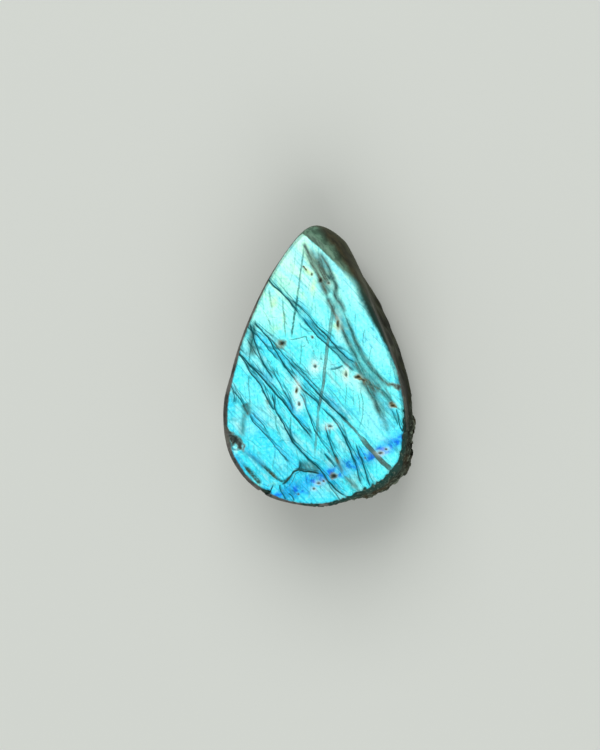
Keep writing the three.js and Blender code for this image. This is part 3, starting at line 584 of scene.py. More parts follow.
def wander(places, size):
    """A way to stray on the face at each place, in lumps of about that size in mm."""
    return np.column_stack((lumps(places, size), lumps(places + ELSEWHERE, size)))


def smooth_path(stops):
    """A smooth line through a few places, as short straight pieces."""
    stops = np.array(stops, float)
    ends = np.vstack((2 * stops[0] - stops[1], stops, 2 * stops[-1] - stops[-2]))
    line = []
    for before, start, end, after in zip(ends, ends[1:], ends[2:], ends[3:]):
        for share in np.arange(PATH_PIECES) / PATH_PIECES:
            curve = 2 * start + share * (end - before)
            curve += share**2 * (2 * before - 5 * start + 4 * end - after)
            line.append((curve + share**3 * (3 * start - before - 3 * end + after)) / 2)
    return np.array([*line, stops[-1]])


def near_path(places, stops):
    """Each place's distance from a line in mm, above 0 on its left, and its share of the way along it."""
    line = smooth_path(stops)
    near = np.all((places > line.min(0) - FLAW_SIDE) & (places < line.max(0) + FLAW_SIDE), axis=1)
    spots = places[near]
    nearest = np.full(len(spots), np.inf)
    side, passed = np.ones(len(spots)), np.zeros(len(spots))
    for index, (start, end) in enumerate(zip(line, line[1:])):
        way = end - start
        share = np.clip((spots - start) @ way / (way @ way), 0, 1)
        gap = np.linalg.norm(spots - start - share[:, None] * way, axis=1)
        closer = gap < nearest
        nearest[closer] = gap[closer]
        side[closer] = np.sign((spots[closer] - start) @ (-way[1], way[0]))
        passed[closer] = (index + share[closer]) / (len(line) - 1)
    distance, along = np.full(len(places), FAR), np.zeros(len(places))
    distance[near] = nearest * side
    along[near] = passed
    return distance, along


def each_flaw(kind, flaws, places):
    """Each flaw's half width and strength, the places' distances from it, and what its ends leave of it."""
    taper = TAPERS[kind]
    for half_width, strength, *stops in flaws:
        distance, along = near_path(places, stops)
        yield half_width, strength, distance, eased(along, 0, taper) * eased(1 - along, 0, taper)


def traced(kind, flaws):
    """Sharp flaws in sets whose members keep clear of each other, each with three values as in NO_FLAW."""
    sets = []
    for half_width, strength, distance, ends in each_flaw(kind, flaws, strayed):
        mine = (np.abs(distance) < FLAW_SIDE) & (ends > 0)
        free = [one for one in sets if not one[mine, 1].any()]
        if not free:
            free = [np.tile(NO_FLAW, (len(strayed), 1))]
            sets.append(free[0])
        width = half_width * (END_WIDTH + (1 - END_WIDTH) * ends)
        free[0][mine] = np.column_stack((distance, strength * ends, width))[mine]
    return sets


def soft(kind, flaws, places):
    """How strongly a set of cloudy flaws shows at each place of the face, from 0 to 1."""
    mask = np.zeros(len(places))
    for half_width, strength, distance, ends in each_flaw(kind, flaws, places):
        cloudy = strength * ends * np.exp(-((distance / half_width) ** 2))
        mask = np.maximum(mask, cloudy) + OVERLAP * np.minimum(mask, cloudy)
    return np.clip(mask, 0, 1)


def crack_shadows(kind, flaws):
    """Painted shadow that cracks leaning under the polish throw on the flash on their left, from 0 to 1."""
    mask = np.zeros(len(strayed))
    for half_width, strength, distance, ends in each_flaw(kind, flaws, strayed):
        fall = np.exp(-np.maximum(distance, 0) / CRACK_SHADOW_REACH) * eased(distance, -half_width, half_width)
        mask = np.maximum(mask, strength * ends * fall)
    return mask


def patches(spots):
    """How strongly a set of soft patches shows at each place of the face."""
    mask = np.zeros(len(strayed))
    for spot, along, across, turn, strength in spots:
        angle = math.radians(turn)
        away = strayed - np.array(spot)
        lengthways = (away @ (math.cos(angle), math.sin(angle))) / along
        sideways = (away @ (-math.sin(angle), math.cos(angle))) / across
        mask = np.maximum(mask, strength * np.exp(-(lengthways**2 + sideways**2)))
    return mask


def carry(name, values):
    """Hands the material one value, or one vector, for each point of the skin."""
    kind, field = ("FLOAT", "value") if values.ndim == 1 else ("FLOAT_VECTOR", "vector")
    skin.attributes.new(name, kind, "POINT").data.foreach_set(field, values.astype(np.float32).ravel())


upper = np.flatnonzero(points[:, 2] > FACE_LEVEL - FLAW_REACH)
on_face = points[upper]
strayed = on_face[:, :2] + WOBBLE * wander(on_face, WOBBLE_SIZE)
frayed = strayed + FRAY * wander(on_face, FRAY_SIZE)
pit, ring, bruise = np.zeros((3, len(upper)))
for spot, reaches, hollow, bruise_reach, rustiness in PITS:
    share = np.linalg.norm((strayed - np.array(spot)) / reaches, axis=1)
    share += PIT_CHANGE * lumps(on_face, PIT_CHANGE_SIZE)
    inner = np.exp(-(share**4))
    points[upper, 2] -= hollow * inner
    pit = np.maximum(pit, inner)
    ring = np.maximum(ring, rustiness * np.exp(-((share / RING_SHARE) ** 4)))
    beyond = np.maximum(share - 1, 0) * min(reaches) / bruise_reach
    bruise = np.maximum(bruise, np.exp(-(beyond**2)) * min(1, bruise_reach / BRUISE_FULL))

masks = {
    "slope": crack_shadows("crack", CRACKS),
    "veil": soft("veil", VEILS, strayed),
    "shade": soft("shade", SHADES, strayed),
    "rust": soft("rust", RUST, frayed),
    "pit": pit,
    "ring": ring,
    "bruise": bruise,
    "azure": patches(AZURE),
    "pale": patches(PALE),
    "mint": patches(MINT),
}
lines = {"crack": CRACKS, "seam": SEAMS + HAIRLINES, "ribbon": RIBBONS, "band": BANDS}
drawn = {kind: traced(kind, flaws) for kind, flaws in lines.items()}

skin.vertices.foreach_set("co", (points * MM).astype(np.float32).ravel())
for name, mask in masks.items():
    values = np.zeros(count)
    values[upper] = mask
    carry(name, values)
for kind, sets in drawn.items():
    for index, one in enumerate(sets):
        values = np.tile(NO_FLAW, (count, 1))
        values[upper] = one
        carry(f"{kind}_{index}", values)
carry("broken", broken)
carry("flash_edge", flash_edge)
carry("crest", crest)
skin.update()
skin.polygons.foreach_set("use_smooth", np.ones(len(skin.polygons), bool))
skin.materials.clear()
stone = bpy.data.objects.new("labradorite_stone", skin)
bpy.context.scene.collection.objects.link(stone)


class Flow:
    """A socket on its way through a material's nodes. Arithmetic between values adds Math nodes."""

    def __init__(self, tree, socket=None):
        self.tree = tree
        self.socket = socket

    def node(self, kind, settings=(), inputs=(), output=0):
        """Adds a node, sets what it is, then fills or links its inputs, and gives one of its outputs."""
        made = self.tree.nodes.new("ShaderNode" + kind)
        for name, setting in dict(settings).items():
            if name == "stops":
                made.color_ramp.elements.remove(made.color_ramp.elements[1])
                made.color_ramp.elements[0].position = setting[0][0]
                made.color_ramp.elements[0].color = setting[0][1]
                for position, tint in setting[1:]:
                    made.color_ramp.elements.new(position).color = tint
            else:
                setattr(made, name, setting)
        for name, value in dict(inputs).items():
            if isinstance(value, Flow):
                self.tree.links.new(value.socket, made.inputs[name])
            else:
                made.inputs[name].default_value = value
        return Flow(self.tree, made.outputs[output])

    def math(self, operation, first, second=0.0):
        return self.node("Math", {"operation": operation}, {0: first, 1: second})

    def parts(self):
        """The X, Y and Z of a vector, as values."""
        return [self.node("SeparateXYZ", {}, {0: self}, axis) for axis in "XYZ"]

    def __add__(self, other):
        return self.math("ADD", self, other)

    def __radd__(self, other):
        return self.math("ADD", other, self)

    def __sub__(self, other):
        return self.math("SUBTRACT", self, other)

    def __rsub__(self, other):
        return self.math("SUBTRACT", other, self)

    def __mul__(self, other):
        return self.math("MULTIPLY", self, other)

    def __rmul__(self, other):
        return self.math("MULTIPLY", other, self)

    def __truediv__(self, other):
        return self.math("DIVIDE", self, other)

    def __abs__(self):
        return self.math("ABSOLUTE", self)


def colour(red, green, blue):
    """A colour as a screen shows it, from 0 to 255, in the light's own measure."""
    shares = [part / 255 for part in (red, green, blue)]
    return (*(s / 12.92 if s < 0.04045 else ((s + 0.055) / 1.055) ** 2.4 for s in shares), 1)


def over(below, above, share, how="MIX"):
    """One colour laid over another."""
    settings = {"data_type": "RGBA", "blend_type": how}
    return share.node("Mix", settings, {0: share, 6: below, 7: above}, 2)


def rising(value, start, end):
    """0 before start, 1 after end, and a smooth rise between them."""
    inputs = {"Value": value, "From Min": start, "From Max": end}
    return value.node("MapRange", {"interpolation_type": "SMOOTHSTEP"}, inputs)


def bend(amount):
    """Places in mm, pushed about by that much in soft waves."""
    inputs = {0: waves, 1: (amount, amount, amount), 2: place}
    return place.node("VectorMath", {"operation": "MULTIPLY_ADD"}, inputs)


def turned(place, degrees, along, across, down=None):
    """Places measured along a direction on the face, across it and down, in pieces of those lengths in mm."""
    lengths = (along, across, across if down is None else down)
    inputs = {"Vector": place, "Rotation": (0, 0, math.radians(degrees)), "Scale": lengths}
    return place.node("Mapping", {"vector_type": "TEXTURE"}, inputs)


def cloud(place, size=1.0, detail=2.0):
    """Soft cloudy values from 0 to 1, in patches of about that size."""
    return place.node("TexNoise", {}, {"Vector": place, "Scale": 1 / size, "Detail": detail})


def swing(place, amount, size, detail=2.0):
    """Soft cloudy values above and below 0, in a range of that amount."""
    return amount * (cloud(place, size, detail) - 0.5)


def mask_of(name):
    """A mask that the mesh carries."""
    return Flow(tree).node("Attribute", {"attribute_name": name}, output="Fac")


# Places for the looks, in mm, straight and in soft waves
WAVES_PER_MM = 0.45
WIDE_BEND, SLIGHT_BEND = 1.6, 0.5
looks = bpy.data.materials.new("labradorite")
looks.use_nodes = True
tree = looks.node_tree
finish = tree.nodes["Principled BSDF"]
metres = Flow(tree).node("TexCoord", output="Object")
place = metres.node("VectorMath", {"operation": "SCALE"}, {0: metres, "Scale": 1 / MM})
waves = place.node("TexNoise", {}, {"Vector": place, "Scale": WAVES_PER_MM, "Detail": 3.0}, "Color")
bent, wavy = bend(WIDE_BEND), bend(SLIGHT_BEND)
across, upward, height = place.parts()
over_face = height - FACE_LEVEL

# The flash, from cyan at the lower left to pale mint at the point, in slivers between the cracks
FLASH_STOPS = [
    (0.05, colour(58, 220, 244)),
    (0.30, colour(80, 236, 247)),
    (0.50, colour(106, 243, 246)),
    (0.72, colour(140, 247, 245)),
    (0.95, colour(172, 250, 243)),
]
POINT_MINT = colour(186, 245, 212)
DEEP_SLIVER, PALE_SLIVER = colour(40, 200, 240), colour(186, 252, 246)
PALE_PATCH, LIME_PATCH, AZURE_PATCH = colour(206, 252, 244), colour(206, 246, 160), colour(0, 196, 242)
CRACK_SHADOW, BUNDLE_SHADE = colour(60, 206, 234), colour(28, 168, 188)
PALE_FRECKLE, DARK_FRECKLE = colour(196, 253, 247), colour(90, 205, 222)
CRACK_WAY = -47  # the main cracks' direction on the face, in degrees from +X
SLIVER, STREAK = (8.0, 1.7), (9.0, 0.35)  # lengths along the cracks and across them, in mm
LIME_SIZE, FRECKLE_SIZE = 1.4, 0.45  # of patches, in mm
ZONE_START = 0.46  # the middle's place in the stops
ZONE_ACROSS, ZONE_UPWARD = 0.010, 0.013  # how far that moves on in each mm to the right and to the point
ZONE_CHANGE, ZONE_SIZE = 0.42, 8.0  # how much it varies besides, over which length in mm
MINT_STRETCH, MINT_LEAN = (5.0, 18.0), 0.4  # where it turns to mint, in mm towards the point and to its left
zone = ZONE_START + ZONE_ACROSS * across + ZONE_UPWARD * upward + swing(bent, ZONE_CHANGE, ZONE_SIZE)
flash = zone.node("ValToRGB", {"stops": FLASH_STOPS}, {0: zone})
flash = over(flash, POINT_MINT, 0.9 * rising(upward - MINT_LEAN * across, *MINT_STRETCH))
sliver = cloud(turned(bent, CRACK_WAY, *SLIVER))
flash = over(flash, DEEP_SLIVER, 0.4 * rising(sliver, 0.5, 0.66))
flash = over(flash, PALE_SLIVER, 0.5 * rising(1 - sliver, 0.52, 0.7))
flash = over(flash, PALE_PATCH, 0.5 * mask_of("pale"))
flash = over(flash, LIME_PATCH, 0.85 * mask_of("mint") * rising(cloud(place, LIME_SIZE), 0.3, 0.55))
# Painted shadow of the leaning cracks, dimming the flash to their left
flash = over(flash, CRACK_SHADOW, 0.8 * mask_of("slope"), "MULTIPLY")
flash = over(flash, AZURE_PATCH, 0.85 * mask_of("azure"), "MULTIPLY")
freckle = cloud(place, FRECKLE_SIZE, 3.0)
flash = over(flash, PALE_FRECKLE, 0.2 * rising(freckle, 0.5, 0.7))
flash = over(flash, DARK_FRECKLE, 0.35 * rising(1 - freckle, 0.5, 0.7), "MULTIPLY")
streak = cloud(turned(wavy, CRACK_WAY, *STREAK), detail=3.0)
shade = mask_of("shade") * (0.5 + 0.5 * rising(streak, 0.35, 0.6))
flash = over(flash, BUNDLE_SHADE, 0.85 * shade, "MULTIPLY")

# The band where the flash turns deep blue
BAND_BLUE, DEEP_BLUE = colour(20, 160, 240), colour(0, 110, 222)
BAND_RISE, BAND_LEVEL = 0.47, -18.6  # its slope on the face, and where it crosses the middle, in mm
BAND_STRAY, BAND_STRAY_SIZE = 3.2, 2.4  # how far it strays, over which length, in mm
BAND_FADE, CORE_FADE = (0.3, 2.0), (0.2, 1.4)  # mm from its middle over which it and its core fade
BLUE_SIZE = 1.1  # of its patches, in mm
off_band = abs(upward - BAND_RISE * across - BAND_LEVEL + swing(place, BAND_STRAY, BAND_STRAY_SIZE))
blue = rising(cloud(bent, BLUE_SIZE, 5.0), 0.47, 0.62)
flash = over(flash, BAND_BLUE, 0.5 * (1 - rising(off_band, *BAND_FADE)))
flash = over(flash, DEEP_BLUE, 0.95 * (1 - rising(off_band, *CORE_FADE)) * blue)

# Streaks, twin lines, hairline cracks and dust too small to draw one by one
STREAK_TEAL, TWIN_TEAL = colour(46, 170, 190), colour(90, 190, 190)
HAIR_TEAL, DUST_TEAL = colour(6, 108, 118), colour(30, 120, 118)
SEAM_WAY = -84  # the seams' direction on the face, in degrees from +X
TWIN = (6.0, 0.28)  # lengths along the seams and across them, in mm
# Nets of hairlines: direction in degrees, cell length and width, size of the patches they show in, strength
HAIRS = [(-45, 14.0, 0.9, 3.1, 0.45), (-52, 11.0, 0.8, 2.6, 0.4), (-82, 9.0, 0.9, 2.9, 0.4)]
HAIR_WIDTH = 0.06  # about half a hairline's width, in mm
HAIR_THINNING = (4.0, 12.0)  # hairlines fade over this stretch towards the point, in mm
DUST_SIZE, DUST_PATCH = 0.2, 5.0  # of a grain and of the patches with dust, in mm
flash = over(flash, STREAK_TEAL, 0.4 * rising(streak, 0.52, 0.7), "MULTIPLY")
twin = cloud(turned(wavy, SEAM_WAY, *TWIN), detail=3.0)
flash = over(flash, TWIN_TEAL, 0.4 * rising(twin, 0.53, 0.7), "MULTIPLY")
for way, along, beside, size, share in HAIRS:
    level = cloud(turned(place, way, along, beside), detail=0.0)
    hairline = 1 - rising(abs(level - 0.5), 0.0, HAIR_WIDTH / beside)
    hairline = hairline * rising(cloud(place, size), 0.53, 0.6)
    flash = over(flash, HAIR_TEAL, share * hairline * (0.8 - 0.6 * rising(upward, *HAIR_THINNING)))
dusty = rising(cloud(place, DUST_PATCH) + 0.02 * across, 0.42, 0.62)
flash = over(flash, DUST_TEAL, 0.5 * (rising(cloud(place, DUST_SIZE), 0.6, 0.72) * dusty))

# Streaky veils, and the grit and the ragged edges that all drawn flaws have
VEIL_TEAL, VEIL_GREY = colour(58, 98, 94), colour(86, 104, 92)
VEIL_WAY = -62  # the veils' direction on the face, in degrees from +X
SMEAR = (3.5, 0.3)  # lengths along the veils and across them, in mm
VEIL_SIZE, GRIT_SIZE = 2.2, 0.32  # of patches, in mm
FUZZ, FUZZ_SIZE = 0.16, 0.6  # how ragged the drawn flaws' lines are, over which length, in mm
grit = rising(cloud(place, GRIT_SIZE, 3.0), 0.3, 0.62)
smear = rising(cloud(turned(wavy, VEIL_WAY, *SMEAR), detail=3.0), 0.32, 0.62)
veil = mask_of("veil")
cloudy = over(VEIL_TEAL, VEIL_GREY, rising(cloud(place, VEIL_SIZE), 0.42, 0.6))
flash = over(flash, cloudy, veil * (0.54 + 0.4 * smear + 0.14 * grit))
fuzz = swing(place, FUZZ, FUZZ_SIZE, 3.0)


def flaw_sets(kind):
    """The distance from the nearest line of each set, how strong it is there, and half its width."""
    for index in range(len(drawn[kind])):
        traces = Flow(tree).node("Attribute", {"attribute_name": f"{kind}_{index}"}, output="Vector")
        distance, strength, half_width = traces.parts()
        yield distance + fuzz, strength, half_width


# Ribbons with two sharp edges, and seams
RIBBON_GREY, RIBBON_EDGE, SEAM_TEAL = colour(80, 110, 102), colour(26, 88, 88), colour(18, 92, 86)
for distance, strength, half_width in flaw_sets("ribbon"):
    share = abs(distance) / half_width
    flash = over(flash, RIBBON_GREY, strength * (0.65 + 0.35 * grit) * (1 - rising(share, 0.8, 1.1)))
    flash = over(flash, RIBBON_EDGE, 0.85 * strength * (1 - rising(abs(share - 0.95), 0.0, 0.35)))
for distance, strength, half_width in flaw_sets("seam"):
    share = abs(distance) / half_width
    flash = over(flash, SEAM_TEAL, strength * (0.55 + 0.45 * grit) * (1 - rising(share, 0.3, 1.3)))

# Cracks with a dark core, a soft dark band on the left that is partly the crack leaning under the polish and
# partly painted shade, and thin strands beside it
CRACK_TEAL, CRACK_OLIVE = colour(4, 108, 116), colour(36, 84, 62)
CRACK_STRAND, CRACK_CORE = colour(2, 86, 92), colour(0, 68, 72)
OLIVE_CRACK_SIZE = 3.6  # of the patches where cracks are olive, in mm
STRAND_WIDTH, STRAND_LENGTH = 0.75, 5.0  # mm
STRANDS_BEGIN, STRANDS_END = (-0.35, -0.1), (0.5, 1.1)  # mm to the left of the core
crack_body_and_shade = over(CRACK_TEAL, CRACK_OLIVE, rising(cloud(place, OLIVE_CRACK_SIZE), 0.5, 0.68))
for distance, strength, half_width in flaw_sets("crack"):
    beside = place.node("CombineXYZ", {}, {"X": distance / STRAND_WIDTH, "Y": upward / STRAND_LENGTH})
    strand = 1 - rising(abs(cloud(beside, detail=0.0) - 0.5), 0.015, 0.07)
    strand = strand * rising(distance, *STRANDS_BEGIN) * (1 - rising(distance, *STRANDS_END))
    flash = over(flash, CRACK_STRAND, 0.85 * strength * strand)
    share = distance / half_width
    sharp = rising(share, -0.8, -0.2)
    # Partly the crack's own dark body under the polish, partly painted shade fading off to its left
    flash = over(flash, crack_body_and_shade, 0.48 * strength * sharp * (1 - rising(share, 0.2, 2.6)))
    flash = over(flash, CRACK_CORE, strength * (1 - rising(abs(share), 0.35, 0.95)))

# Bands that are olive at the round end and turn bluish above it
BAND_DARK, BAND_OLIVE, BAND_BLUISH = colour(26, 60, 50), colour(58, 68, 40), colour(40, 122, 158)
BAND_SIZE = 1.3  # of the olive patches, in mm
BLUISH_STRETCH = (-16.8, -15.6)  # where they turn, in mm towards the point
BLUISH_STRAY, BLUISH_STRAY_SIZE = 1.5, 1.0  # how far that place strays, over which length, in mm
bluish = rising(upward + swing(place, BLUISH_STRAY, BLUISH_STRAY_SIZE), *BLUISH_STRETCH)
band_colour = over(BAND_DARK, BAND_OLIVE, rising(cloud(place, BAND_SIZE), 0.42, 0.6))
band_colour = over(band_colour, BAND_BLUISH, bluish)
for distance, strength, half_width in flaw_sets("band"):
    share = distance / half_width
    band = rising(share, -1.0, -0.4) * (1 - rising(share, 0.4, 2.2)) * (1 - 0.5 * bluish)
    flash = over(flash, band_colour, strength * band * (0.6 + 0.4 * grit))

# Pale bruises, rust and pits
BRUISE_PALE, PIT_DARK = colour(236, 250, 236), colour(16, 20, 14)
RUST_PALE, RUST_DARK, RUST_RING = colour(142, 142, 106), colour(64, 59, 49), colour(156, 150, 98)
RUST_CHANGE, RUST_SIZE = 0.8, 0.5  # how specked it is, and the size of its specks in mm
sunk = mask_of("pit")
rust = mask_of("rust") + swing(place, RUST_CHANGE, RUST_SIZE, 4.0)
flash = over(flash, BRUISE_PALE, 0.6 * mask_of("bruise") * (0.4 + 0.6 * grit))
flash = over(flash, over(RUST_PALE, RUST_DARK, rising(rust, 0.35, 0.9)), 0.95 * rising(rust, 0.2, 0.85))
flash = over(flash, RUST_RING, 0.9 * mask_of("ring") * (0.4 + 0.6 * grit))
flash = over(flash, PIT_DARK, 0.94 * sunk)

# Ground stone off the face: olive along the right, darkened by painted shade that lifts towards the point,
# grey brown along the left, in dark and pale layers
SHADED_OLIVE_DARK, SHADED_OLIVE_LIGHT, OLIVE_POINT = colour(24, 26, 9), colour(43, 45, 20), colour(82, 84, 60)
GREY_DARK, GREY_LIGHT = colour(70, 69, 65), colour(106, 103, 98)
LAYER_DARK, LAYER_LIGHT = colour(20, 20, 12), colour(104, 112, 92)
RIM_TEAL, SPECK_DARK = colour(24, 60, 54), colour(16, 18, 12)
LAYER = (9.0, 0.7, 4.0)  # lengths along the cracks, across them and down, in mm
OLIVE_SIZE, GREY_SIZE, SPECK_SIZE = 2.2, 1.8, 0.3  # of patches, in mm
# The painted shade on the olive lifts over this stretch towards the point
SHADE_LIFT_STRETCH = (7.0, 14.0)  # where the olive lightens, in mm towards the point
LEFT_STRETCH, LEFT_LEAN = (-4.0, 1.0), 0.3  # where olive turns to grey, in mm to the left and down
TEAL_STRETCH, TEAL_LEVELS = (2.0, 5.0), (-1.1, -0.3)  # mm to the right and over the face, for the teal rim
TEAL_STRAY, TEAL_STRAY_SIZE = 0.8, 2.0  # how far its lower edge strays, over which length, in mm
layer = cloud(turned(bent, CRACK_WAY, *LAYER), detail=4.0)
# The olive is the stone's own colour darkened with painted shade, which lifts towards the point
shaded_olive = over(SHADED_OLIVE_DARK, SHADED_OLIVE_LIGHT, rising(cloud(bent, OLIVE_SIZE, 5.0), 0.4, 0.66))
shaded_olive = over(shaded_olive, OLIVE_POINT, 0.5 * rising(upward, *SHADE_LIFT_STRETCH))
grey = over(GREY_DARK, GREY_LIGHT, rising(cloud(bent, GREY_SIZE, 5.0), 0.36, 0.66))
ground = over(shaded_olive, grey, rising(0 - across - LEFT_LEAN * upward, *LEFT_STRETCH))
ground = over(ground, LAYER_DARK, 0.5 * rising(layer, 0.52, 0.66))
ground = over(ground, LAYER_LIGHT, 0.25 * rising(1 - layer, 0.54, 0.7))
near_face = rising(over_face + swing(bent, TEAL_STRAY, TEAL_STRAY_SIZE), *TEAL_LEVELS)
ground = over(ground, RIM_TEAL, 0.7 * near_face * rising(across, *TEAL_STRETCH))

# The shoulder round the point: green beside the flash, then brown, partly its own colour and partly a painted
# sheen where it faces up
TIP_GREENS_AND_SHEEN = (colour(70, 100, 82), colour(106, 144, 121))
TIP_BROWNS = (colour(40, 40, 24), colour(62, 58, 36))
TIP_CLOUD = (3.0, 0.8)  # lengths along the veils and across them, in mm
TIP_START = (11.0, 15.0)  # where it starts, in mm towards the point
GREEN_START, BROWN_START = (11.0, 13.0), (15.4, 17.0)  # where each starts, in mm to the right and up
TIP_LEAN = 0.72  # how much a mm up counts there, beside a mm to the right
TIP_STRAY, TIP_STRAY_SIZE = 1.6, 2.0  # how far these places stray, over which length, in mm
skin_normal = place.node("NewGeometry", output="Normal")
facing_up = skin_normal.parts()[2]
past_tip = across + TIP_LEAN * upward + swing(bent, TIP_STRAY, TIP_STRAY_SIZE)
# Painted sheen: the green and brown show only where the shoulder faces up
tip_and_sheen = rising(upward, *TIP_START) * rising(facing_up, 0.1, 0.5) * rising(past_tip, *GREEN_START)
tip_cloud = rising(cloud(turned(bent, VEIL_WAY, *TIP_CLOUD), detail=4.0), 0.4, 0.62)
tip_colour_and_sheen = over(over(*TIP_GREENS_AND_SHEEN, tip_cloud), over(*TIP_BROWNS, tip_cloud), rising(past_tip, *BROWN_START))
ground = over(ground, tip_colour_and_sheen, tip_and_sheen)
ground = over(ground, SPECK_DARK, 0.5 * rising(cloud(place, SPECK_SIZE), 0.62, 0.74))

# Broken stone: dull grey green, brown in patches, darkened by painted shade in its hollows and bruised pale
# along its crests
ROCK_DARK, ROCK_LIGHT, ROCK_BROWN = colour(36, 39, 31), colour(70, 78, 66), colour(76, 60, 38)
ROCK_TEAL, ROCK_GRAIN = colour(24, 78, 74), colour(112, 124, 108)
HOLLOW_SHADE, CREST_PALE = colour(14, 16, 12), colour(128, 138, 120)
ROCK_SIZE, BROWN_SIZE, PALE_GRAIN_SIZE = 1.2, 3.2, 0.45  # of patches, in mm
ROCK_TEAL_LEVELS = (-1.6, -0.2)  # over the face, in mm
SHADED_HOLLOWS, CRESTS = (0.02, 0.2), (0.06, 0.24)  # mm that the skin lies in or out where they begin and are full
broken_mask, crest_mask = mask_of("broken"), mask_of("crest")
grain = rising(cloud(place, PALE_GRAIN_SIZE, 4.0), 0.56, 0.66)
rock = over(ROCK_DARK, ROCK_LIGHT, rising(cloud(bent, ROCK_SIZE, 6.0), 0.36, 0.66))
rock = over(rock, ROCK_BROWN, 0.6 * rising(cloud(place, BROWN_SIZE, 3.0), 0.5, 0.68))
rock = over(rock, ROCK_TEAL, 0.6 * rising(over_face, *ROCK_TEAL_LEVELS))
rock = over(rock, ROCK_GRAIN, 0.55 * grain)
# Painted shade: darker where the skin lies in a hollow
rock = over(rock, HOLLOW_SHADE, 0.75 * rising(0 - crest_mask, *SHADED_HOLLOWS))
rock = over(rock, CREST_PALE, 0.65 * rising(crest_mask + 0.1 * (grain - 0.5), *CRESTS))

# The flash shows through the polish, and its layers lean towards the point, each sliver a little differently
FLASH_LEVELS, COAT_LEVELS = (-1.5, -1.0), (-4.0, -0.5)  # over the face, in mm
EDGE_CHANGE, EDGE_CHANGE_SIZE = 0.25, 0.4  # how uneven the flash's edge is, over which length in mm
LAYER_LEAN, LEAN_CHANGE = 0.24, 0.3  # how far the layers lean, and how much that varies
ROUGH_SIZE, ROUGH_DEPTH = 0.5, 0.3 * MM  # of the broken stone's finest grain, in mm and in metres
ROUGH_STRENGTH = 0.6
FLASH_METAL, POLISH_COAT, COAT_ROUGHNESS = 0.3, 0.25, 0.06
STONE_ROUGHNESS, STONE_SHINE, FELDSPAR_IOR = 0.5, 0.05, 1.56
flash_reach = mask_of("flash_edge") + swing(place, EDGE_CHANGE, EDGE_CHANGE_SIZE, 3.0)
shown = rising(flash_reach, -0.2, 0.8) * (1 - broken_mask) * rising(over_face, *FLASH_LEVELS)
clear = shown * (1 - veil) * (1 - sunk)
lean = place.node("CombineXYZ", {}, {"Y": clear * (LAYER_LEAN + LEAN_CHANGE * (sliver - 0.5))})
leaning = place.node("VectorMath", {"operation": "ADD"}, {0: skin_normal, 1: lean})
leaning = place.node("VectorMath", {"operation": "NORMALIZE"}, {0: leaning})
rough = cloud(place, ROUGH_SIZE, 4.0) * broken_mask
bump = {"Strength": ROUGH_STRENGTH, "Distance": ROUGH_DEPTH, "Height": rough, "Normal": leaning}
varying = {
    "Base Color": over(over(ground, rock, broken_mask), flash, shown),
    "Metallic": FLASH_METAL * clear,
    "Roughness": STONE_ROUGHNESS + 0.2 * layer - 0.25 * shown + 0.25 * broken_mask + 0.3 * sunk,
    "Coat Weight": POLISH_COAT * (1 - broken_mask) * (1 - sunk) * rising(over_face, *COAT_LEVELS),
    "Normal": place.node("Bump", {}, bump),
}
for name, flow in varying.items():
    tree.links.new(flow.socket, finish.inputs[name])
finish.inputs["Coat Roughness"].default_value = COAT_ROUGHNESS
finish.inputs["IOR"].default_value = FELDSPAR_IOR
finish.inputs["Specular IOR Level"].default_value = STONE_SHINE
skin.materials.append(looks)

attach(stone, "root")
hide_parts(NODE)

# The floor: a plain pale sheet that the stone lies on.
# It is matt, so that it mirrors neither the stone nor the lights.
FLOOR_HALF = 1.5  # metres from its middle to each side
FLOOR_PALE, FLOOR_ROUGHNESS = colour(215, 218, 212), 0.9
corners = [(FLOOR_HALF * x, FLOOR_HALF * y, 0) for x, y in ((-1, -1), (1, -1), (1, 1), (-1, 1))]
floor_mesh = bpy.data.meshes.new("floor")
floor_mesh.from_pydata(corners, [], [range(len(corners))])
floor = bpy.data.objects.new("floor", floor_mesh)
bpy.context.scene.collection.objects.link(floor)
sheet = bpy.data.materials.new("pale_sheet")
sheet.use_nodes = True
sheet_finish = sheet.node_tree.nodes["Principled BSDF"]
sheet_finish.inputs["Base Color"].default_value = FLOOR_PALE
sheet_finish.inputs["Roughness"].default_value = FLOOR_ROUGHNESS
floor_mesh.materials.append(sheet)

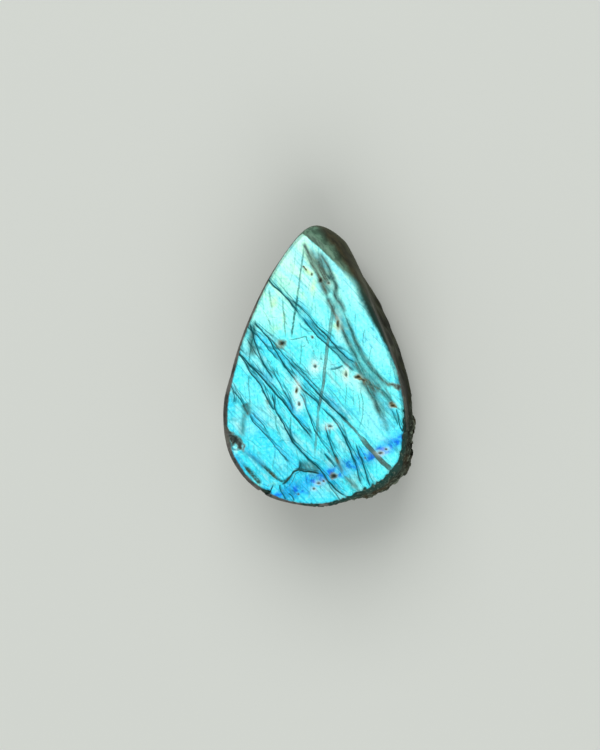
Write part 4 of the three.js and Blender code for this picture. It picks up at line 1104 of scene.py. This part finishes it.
# The light: a soft pale room and two large soft boxes, beyond the point and before the round end. Both stand
# clear of the line in which the polish mirrors the camera.
ROOM_TINT, ROOM_LIGHT = (0.97, 1.0, 0.99, 1), 0.36
BOX_SIDE = 0.9  # metres
BOXES = {"far_box": ((-0.1, 0.75, 0.85), 7.0), "near_box": ((0.1, -0.85, 0.8), 6.0)}  # place, watts
world = bpy.data.worlds.new("room")
bpy.context.scene.world = world
world.use_nodes = True
world.node_tree.nodes["Background"].inputs["Color"].default_value = ROOM_TINT
world.node_tree.nodes["Background"].inputs["Strength"].default_value = ROOM_LIGHT
for name, (spot, power) in BOXES.items():
    lamp = bpy.data.lights.new(name, "AREA")
    lamp.size = BOX_SIDE
    lamp.energy = power
    box = bpy.data.objects.new(name, lamp)
    box.location = spot
    box.rotation_euler = (-Vector(spot)).to_track_quat("-Z", "Y").to_euler()
    bpy.context.scene.collection.objects.link(box)

# The camera: it looks almost straight down on the face, leaning a little to the right as the photograph does.
# The photograph is 600 by 750 pixels, with 6.13 of them to a millimetre of the face.
PICTURE = (600, 750)
PIXELS_PER_MM = 6.13
MIDDLE_PIXEL = (317.8, 365.5)  # where the middle of the face is in the picture
DISTANCE, NEAREST = 300 * MM, 10 * MM
LEAN = math.radians(8)
SENSOR = 36.0  # mm
aim = Vector((
    (PICTURE[0] / 2 - MIDDLE_PIXEL[0]) / PIXELS_PER_MM * MM,
    (MIDDLE_PIXEL[1] - PICTURE[1] / 2) / PIXELS_PER_MM * MM,
    FACE_LEVEL * MM,
))
back = Vector((math.sin(LEAN), 0, math.cos(LEAN)))
side = Vector((math.cos(LEAN), 0, -math.sin(LEAN)))
camera = bpy.data.cameras.new("camera")
camera.sensor_width = SENSOR
camera.lens = SENSOR * PIXELS_PER_MM * (DISTANCE / MM) / max(PICTURE)
camera.clip_start = NEAREST
camera_object = bpy.data.objects.new("camera", camera)
camera_object.matrix_world = Matrix.Translation(aim + back * DISTANCE) @ Matrix((
    (side.x, 0, back.x),
    (side.y, 1, back.y),
    (side.z, 0, back.z),
)).to_4x4()
bpy.context.scene.collection.objects.link(camera_object)
bpy.context.scene.camera = camera_object
bpy.context.scene.view_settings.view_transform = "Standard"
